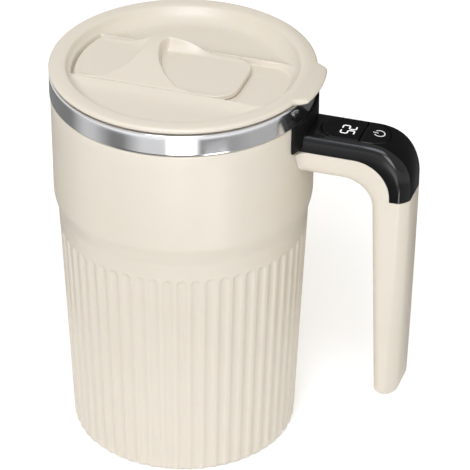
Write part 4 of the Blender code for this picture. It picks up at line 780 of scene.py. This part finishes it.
def tip_rows():
    rows = []
    cut_n, cut_y, bulge, inner_round = GRIP_SECTION
    for a in np.radians(np.linspace(0, 88, 16))[1:]:
        c, s = math.cos(a), math.sin(a)
        k = c**0.9
        half = HANDLE_HALF * (1 - (1 - c) * 0.5)
        x, z = TIP_X - TIP_LEAN * s, TIP_Z - TIP_DROP * s
        form = (cut_n * k, min(cut_y, half * 0.5), bulge + 0.5 * s, (inner_round - ROUND_LOSS) * k)
        rows.append(section((x + TIP_HALF * k, z), (x - TIP_HALF * k, z), half, *form))
    return rows


def handle_form(name, flared=False):
    """The whole handle as one closed form. Flared, it widens where it meets the shell."""
    rows = np.array(arm_rows() + bend_rows() + grip_rows() + tip_rows())
    if flared:
        x, y, z = rows[..., 0], rows[..., 1], rows[..., 2]
        near = np.clip((FLARE_X - x) / FLARE_RUN, 0, 1.15) ** 2
        reach = np.clip(0.6 + 3.4 * (z - 110) / 9, 0.3, 4.2) * near
        rows[..., 1] = y * (1 + reach / HANDLE_HALF)
    return fix_normals(grid_mesh(name, rows, round_columns=True, caps=(0, -1)))


def top_of_arm(x):
    """Height of the arm's upper surface at x."""
    past = max(0.0, x - OUT_C[0]) / OUT_R
    return OUT_C[1] + OUT_R * (1 - past**OUT_POWER) ** (1 / OUT_POWER)


def side_prism(name, outline):
    """A side view extruded across the whole handle."""
    return prism(name, outline, -ZONE_HALF, ZONE_HALF, upright=True)


def cap_zone(name, grow):
    """The space over the arm and its bend that the black cap takes, made larger by a gap."""
    points = [(ZONE_LEFT, ZONE_TOP), (ZONE_LEFT, CAP_LOW - grow)]
    points += arc_points(*CAP_BEND, CAP_BEND_R - grow, 90, 0, 24)
    points += [(CAP_BEND[0] + CAP_BEND_R - grow, CAP_END - grow), (ZONE_RIGHT, CAP_END - grow)]
    points += [(ZONE_RIGHT, ZONE_TOP)]
    return side_prism(name, points)


def shell_plug():
    """The shell's outside as a solid, a little larger, which trims the handle's root."""
    heights = np.linspace(PLUG_HIGH, PLUG_LOW, 12)
    profile = [(NEAR_AXIS, PLUG_HIGH)]
    profile += [(float(shell_radius(z)) + PLUG_GAP, z) for z in heights]
    profile += [(NEAR_AXIS, PLUG_LOW)]
    return lathe("plug", profile, 180)


def panel_outline(left, right, grow):
    """Plan of the panel or a part of it, with round ends where the panel ends."""
    half = PANEL_HALF + grow
    points = []
    if right >= PANEL_RIGHT:
        points += arc_points(right - half, 0, half, -90, 90, 28)
    else:
        points += [(right, -half), (right, half)]
    if left <= PANEL_LEFT:
        points += arc_points(left + half, 0, half, 90, 270, 28)
    else:
        points += [(left, half), (left, -half)]
    return points


def panel_well():
    """The recess in the cap that holds the window and the button, with a floor that follows the arm."""
    plan = panel_outline(PANEL_LEFT - PANEL_GAP, PANEL_RIGHT + PANEL_GAP, PANEL_GAP)
    side = [(x, top_of_arm(x) - WELL_DEPTH) for x in np.linspace(WELL_LEFT, WELL_RIGHT, 60)]
    side += [(WELL_RIGHT, ZONE_TOP), (WELL_LEFT, ZONE_TOP)]
    well = bpy.data.objects.new("well", prism("well", plan, WELL_LOW, ZONE_TOP))
    bpy.context.scene.collection.objects.link(well)
    boolean(well, side_prism("well_side", side), "INTERSECT")
    mesh = well.data.copy()
    bpy.data.objects.remove(well, do_unlink=True)
    return mesh


def handle():
    body = object_of("handle_shell", handle_form("handle_shell", flared=True), cream)
    boolean(body, cap_zone("cap_side", CAP_GAP))
    boolean(body, shell_plug())
    shade(body.data, 38)
    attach(body, "mug")
    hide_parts("handle_body")

    cap = object_of("handle_cover", handle_form("handle_cover"), gloss_black)
    boolean(cap, cap_zone("cap_zone", 0), "INTERSECT")
    boolean(cap, shell_plug())
    boolean(cap, panel_well())
    shade(cap.data, 38)
    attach(cap, "mug")
    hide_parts("handle_cap")


def plate(name, left, right, proud, thick, material, body):
    """A panel piece whose top follows the arm, with a rounded edge."""
    plan = np.array(panel_outline(left, right, 0))
    along = np.roll(plan, -1, 0) - np.roll(plan, 1, 0)
    normal = np.stack([along[:, 1], -along[:, 0]], -1)
    normal /= np.linalg.norm(normal, axis=1)[:, None]

    def ring(points, drop):
        return [(x, y, top_of_arm(x) + proud - drop) for x, y in points]

    # rounded edge, as (inset, drop)
    edge = ((0, thick), (0, PLATE_EDGE), (0.04, 0.2), (0.12, 0.08), (0.24, 0.02), (PLATE_EDGE, 0.0))
    rings = [ring(plan - normal * inset, drop) for inset, drop in edge]
    last = plan - normal * PLATE_EDGE
    centre = np.array(((left + right) / 2, 0.0))
    rings += [ring(last * (1 - share) + centre * share, 0.0) for share in np.linspace(0.12, 0.97, 12)]
    mesh = grid_mesh(name, np.array(rings), round_columns=True, caps=(0, -1))
    return object_of(name, fix_normals(mesh), material, body, 40)


def saddle():
    """Black collar on the shell between the arm's root and the steel band."""
    turns = np.radians(np.linspace(-COLLAR_TURN, COLLAR_TURN, 61))
    low, high = COLLAR_LOW, COLLAR_HIGH
    # section of the collar, as (radius, height)
    ring = [(COLLAR_IN, low + 0.3), (COLLAR_IN + 0.1, low), (COLLAR_OUT - 0.3, low), (COLLAR_OUT, low + 0.3)]
    ring += [(COLLAR_OUT, high - 0.35), (COLLAR_OUT - 0.1, high - 0.1), (COLLAR_OUT - 0.35, high)]
    ring += [(COLLAR_IN, high)]
    grid = np.array([[(r * math.cos(t), r * math.sin(t), z) for r, z in ring] for t in turns])
    grid[..., 1] = np.clip(grid[..., 1], -COLLAR_HALF, COLLAR_HALF)
    mesh = grid_mesh("root_collar", grid, round_columns=True, caps=(0, -1))
    object_of("root_collar", fix_normals(mesh), collar_black, "mug", 40)


handle()
saddle()
window_right, button_left = PANEL_SPLIT - SPLIT_GAP, PANEL_SPLIT + SPLIT_GAP
window = plate("display_glass", PANEL_LEFT, window_right, 0.2, 1.1, window_black, "mug")
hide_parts("display_window")
button = plate("button_face", button_left, PANEL_RIGHT, 0.05, 0.95, gloss_black, "button")
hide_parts("power_button")

# Figures and sign

PRINT_SUNK = 0.06
FIGURE_LIFT, SIGN_LIFT = 0.24, 0.1
FIGURE_X, FIGURE_HEIGHT, FIGURE_WIDTH = 57.2, 4.5, 2.0
BAR_WIDTH, BAR_GAP = 0.46, 0.12
# Bars that are lit, by the usual letters of a seven-segment figure
LIT_BARS = {"5": "afgcd", "2": "abged"}
SIGN_X, SIGN_Y, SIGN_R, SIGN_LINE, SIGN_OPENING = 67.3, 0.65, 1.75, 0.36, 142
SIGN_BAR = ((65.1, 0.6), (66.9, 0.5), (66.9, 0.85), (65.1, 0.95))


def stroke(name, outline, lift, material, body):
    """A thin raised print that follows the arm's top."""
    rings = [[(x, y, top_of_arm(x) + up) for x, y in outline] for up in (-PRINT_SUNK, lift)]
    mesh = grid_mesh(name, np.array(rings), round_columns=True, caps=(0, -1))
    object_of(name, fix_normals(mesh), material, body)


def segment(centre, length, vertical):
    """A seven-segment bar with pointed ends, in the figure's own plane."""
    half, w = length / 2, BAR_WIDTH / 2
    points = [(-half, 0), (-half + w, w), (half - w, w), (half, 0), (half - w, -w), (-half + w, -w)]
    if vertical:
        points = [(b, a) for a, b in points]
    return [(a + centre[0], b + centre[1]) for a, b in points]


def figure(value, name, along):
    """One seven-segment figure. It reads toward +Y with its top toward the mug."""
    h, w = FIGURE_HEIGHT / 2, FIGURE_WIDTH / 2
    bars = {
        "a": ((0, h), FIGURE_WIDTH, False),
        "g": ((0, 0), FIGURE_WIDTH, False),
        "d": ((0, -h), FIGURE_WIDTH, False),
        "f": ((-w, h / 2), h, True),
        "b": ((w, h / 2), h, True),
        "e": ((-w, -h / 2), h, True),
        "c": ((w, -h / 2), h, True),
    }
    for key in LIT_BARS[value]:
        centre, length, vertical = bars[key]
        flat = segment(centre, length - BAR_GAP, vertical)
        placed = [(FIGURE_X - v, along + u) for u, v in flat]
        stroke(f"figure_{name}_{key}", placed[::-1], FIGURE_LIFT, figures, "mug")


def power_sign():
    """An open ring with a bar in its gap."""
    outer = arc_points(SIGN_X, SIGN_Y, SIGN_R + SIGN_LINE / 2, -SIGN_OPENING, SIGN_OPENING, 28)
    inner = arc_points(SIGN_X, SIGN_Y, SIGN_R - SIGN_LINE / 2, SIGN_OPENING, -SIGN_OPENING, 28)
    stroke("power_ring", outer + inner, SIGN_LIFT, sign, "button")
    stroke("power_bar", SIGN_BAR, SIGN_LIFT, sign, "button")


figure("5", "near", -2.1)
figure("2", "far", 0.85)
power_sign()

# CAD nodes that stay, with their finish

FINISH = {
    satin_steel: (
        "stirrer_pivot motor motor_shaft motor_screw_1 motor_screw_2 base_screw_1 base_screw_2 base_screw_3 "
        "handle_screw_1 handle_screw_2 charge_socket temperature_probe"
    ),
    pale_silicone: "rim_gasket support_ring lid_gasket sip_seal",
    foot_rubber: "foot_pad",
    grey_plastic: "base_cover magnet_carrier stirrer power_switch",
    white_plastic: "motor_frame display_module",
    board_green: "main_board handle_board",
    nickel: "drive_magnet_1 drive_magnet_2 stirrer_magnet_1 stirrer_magnet_2",
    battery_wrap: "battery",
    cable_jacket: "handle_cable",
}
for material, names in FINISH.items():
    for name in names.split():
        mesh = nodes[name].data
        mesh.materials.clear()
        mesh.materials.append(material)

# Studio. The floor and the lamp are in metres, the cards round the mug in millimetres.

FLOOR_HALF = 6.0
FLOOR_GLOW = 0.30
FILL = 0.55
FILL_COLOUR = (1.0, 0.955, 0.865)
KEY_PLACE, KEY_AIM = (0.136, -0.86, 1.05), (0, 0, 0.08)
KEY_SIZE, KEY_POWER, KEY_COLOUR = 0.8, 11.9, (0.93, 0.985, 1.10)
# Plain light panels lying round the mug, which only reflections see, over a ring of one grey. Each is
# (soft start, start, end, soft end, level), in degrees from the handle.
FLOOR_GREY = 0.28
FLOOR_PANELS = (
    (-174, -158, -148, -130, 0.8),
    (-120, -104, -86, -85, 1.0),
    (-85, -82, -66, -58, 4.0),
    (-50, -15, 15, 40, 0.6),
)
FLOOR_PEAK = 5.0
RING_IN, RING_OUT, RING_Z, RING_STEPS = 95, 330, 0.5, 96
SECTOR_Z, SECTOR_STEPS = 0.9, 12


def math_node(tree, operation, first, second):
    """A node with two operands. The second is an output or a number."""
    made = tree.nodes.new("ShaderNodeMath")
    made.operation = operation
    tree.links.new(first, made.inputs[0])
    if isinstance(second, float):
        made.inputs[1].default_value = second
    else:
        tree.links.new(second, made.inputs[1])
    return made.outputs[0]


def studio_floor():
    """A pale floor that the camera and reflections see a little brighter than it lights the mug."""
    h = FLOOR_HALF
    mesh = bpy.data.meshes.new("floor")
    mesh.from_pydata([(-h, -h, 0), (h, -h, 0), (h, h, 0), (-h, h, 0)], [], [(0, 1, 2, 3)])
    floor = bpy.data.objects.new("floor", mesh)
    bpy.context.scene.collection.objects.link(floor)
    material, tree, shader = shader_of("pale_floor")
    shader.inputs["Base Color"].default_value = (0.98, 0.98, 0.98, 1)
    shader.inputs["Roughness"].default_value = 0.9
    shader.inputs["Specular IOR Level"].default_value = 0.0
    shader.inputs["Emission Color"].default_value = (1, 1, 1, 1)
    path = tree.nodes.new("ShaderNodeLightPath").outputs
    seen = math_node(tree, "MAXIMUM", path["Is Camera Ray"], path["Is Glossy Ray"])
    tree.links.new(math_node(tree, "MULTIPLY", seen, FLOOR_GLOW), shader.inputs["Emission Strength"])
    mesh.materials.append(material)


def studio_world():
    """A white surround to the camera and in reflections, and a weaker, warmer fill light."""
    world = bpy.data.worlds.new("studio")
    bpy.context.scene.world = world
    world.use_nodes = True
    tree = world.node_tree
    background = tree.nodes["Background"]
    path = tree.nodes.new("ShaderNodeLightPath").outputs
    seen = math_node(tree, "MAXIMUM", path["Is Camera Ray"], path["Is Glossy Ray"])
    seen = math_node(tree, "MAXIMUM", seen, path["Is Transmission Ray"])
    tree.links.new(ramp(tree, seen, FILL, 1.0, 0.0, 1.0), background.inputs["Strength"])
    colour = tree.nodes.new("ShaderNodeMix")
    colour.data_type = "RGBA"
    colour.inputs["A"].default_value = (*FILL_COLOUR, 1)
    colour.inputs["B"].default_value = (1, 1, 1, 1)
    tree.links.new(seen, colour.inputs["Factor"])
    tree.links.new(colour.outputs["Result"], background.inputs["Color"])


def card(name, points, faces, material):
    """A piece of the studio that only reflections see."""
    mesh = bpy.data.meshes.new(name)
    mesh.from_pydata([tuple(c * MM for c in p) for p in points], [], faces)
    mesh.materials.append(material)
    obj = bpy.data.objects.new(name, mesh)
    bpy.context.scene.collection.objects.link(obj)
    obj.visible_camera = False
    obj.visible_diffuse = False
    obj.visible_transmission = False
    obj.visible_volume_scatter = False
    obj.visible_shadow = False


def card_glow(name, level):
    """A material that reflects nothing and gives one level of light."""
    material, tree, shader = shader_of(name)
    shader.inputs["Base Color"].default_value = (0, 0, 0, 1)
    shader.inputs["Specular IOR Level"].default_value = 0.0
    shader.inputs["Emission Color"].default_value = (1, 1, 1, 1)
    shader.inputs["Emission Strength"].default_value = level
    return material


def panel_glow():
    """The level of light round the mug by angle: one grey, with the panels on it."""
    material = card_glow("floor_levels", FLOOR_PEAK)
    tree = material.node_tree
    coordinates = tree.nodes.new("ShaderNodeTexCoord")
    parts = tree.nodes.new("ShaderNodeSeparateXYZ")
    tree.links.new(coordinates.outputs["Object"], parts.inputs[0])
    turn = math_node(tree, "ARCTAN2", parts.outputs["Y"], parts.outputs["X"])
    marks = [(-180, FLOOR_GREY)]
    for before, start, end, after, level in FLOOR_PANELS:
        marks += [(before, FLOOR_GREY), (start, level), (end, level), (after, FLOOR_GREY)]
    marks.append((180, FLOOR_GREY))
    stops = tree.nodes.new("ShaderNodeValToRGB")
    levels = stops.color_ramp
    for i, (angle, level) in enumerate(marks):
        place = (angle + 180) / 360
        stop = levels.elements[i] if i < 2 else levels.elements.new(place)
        stop.position = place
        stop.color = (level / FLOOR_PEAK, level / FLOOR_PEAK, level / FLOOR_PEAK, 1)
    tree.links.new(ramp(tree, turn, 0.0, 1.0, -math.pi, math.pi), stops.inputs["Fac"])
    tree.links.new(stops.outputs["Color"], tree.nodes["Principled BSDF"].inputs["Emission Color"])
    return material


def floor_ring():
    """Soft light panels on the floor round the mug, which the steel band mirrors."""
    points, faces = [], []
    for i in range(RING_STEPS):
        a = 2 * math.pi * i / RING_STEPS
        points += [(r * math.cos(a), r * math.sin(a), RING_Z) for r in (RING_IN, RING_OUT)]
        after = (i + 1) % RING_STEPS
        faces.append((2 * i, 2 * i + 1, 2 * after + 1, 2 * after))
    card("floor_ring", points, faces, panel_glow())


def sector(name, near, far, start, end, level):
    """A flat piece of floor between two radii and two angles, at one level."""
    count = SECTOR_STEPS + 1
    turns = np.radians(np.linspace(start, end, count))
    points = [(r * math.cos(a), r * math.sin(a), SECTOR_Z) for r in (near, far) for a in turns]
    faces = [(i, i + count, i + count + 1, i + 1) for i in range(SECTOR_STEPS)]
    card(name, points, faces, card_glow(name + "_level", level))


def upright(name, start, end, low, high, material):
    """A standing card over a line on the floor, between two heights."""
    card(name, ((*start, low), (*end, low), (*end, high), (*start, high)), ((0, 1, 2, 3),), material)


def key_lamp():
    data = bpy.data.lights.new("key", "AREA")
    data.shape = "RECTANGLE"
    data.size = KEY_SIZE
    data.size_y = KEY_SIZE
    data.energy = KEY_POWER
    data.color = KEY_COLOUR
    lamp = bpy.data.objects.new("key", data)
    bpy.context.scene.collection.objects.link(lamp)
    lamp.location = KEY_PLACE
    direction = Vector(KEY_AIM) - Vector(KEY_PLACE)
    lamp.rotation_euler = direction.to_track_quat("-Z", "Y").to_euler()


studio_floor()
studio_world()
floor_ring()
sector("dark_floor", 96, 232, -128, -58, 0.12)
sector("bright_floor", 192, 236, -54, -36, 8.0)
upright("cap_shade", (14, 82), (240, 82), 20, 260, card_glow("shade", 0.12))
upright("strip", (150, -690), (325, -626), 2, 330, card_glow("strip_light", 9.0))
key_lamp()

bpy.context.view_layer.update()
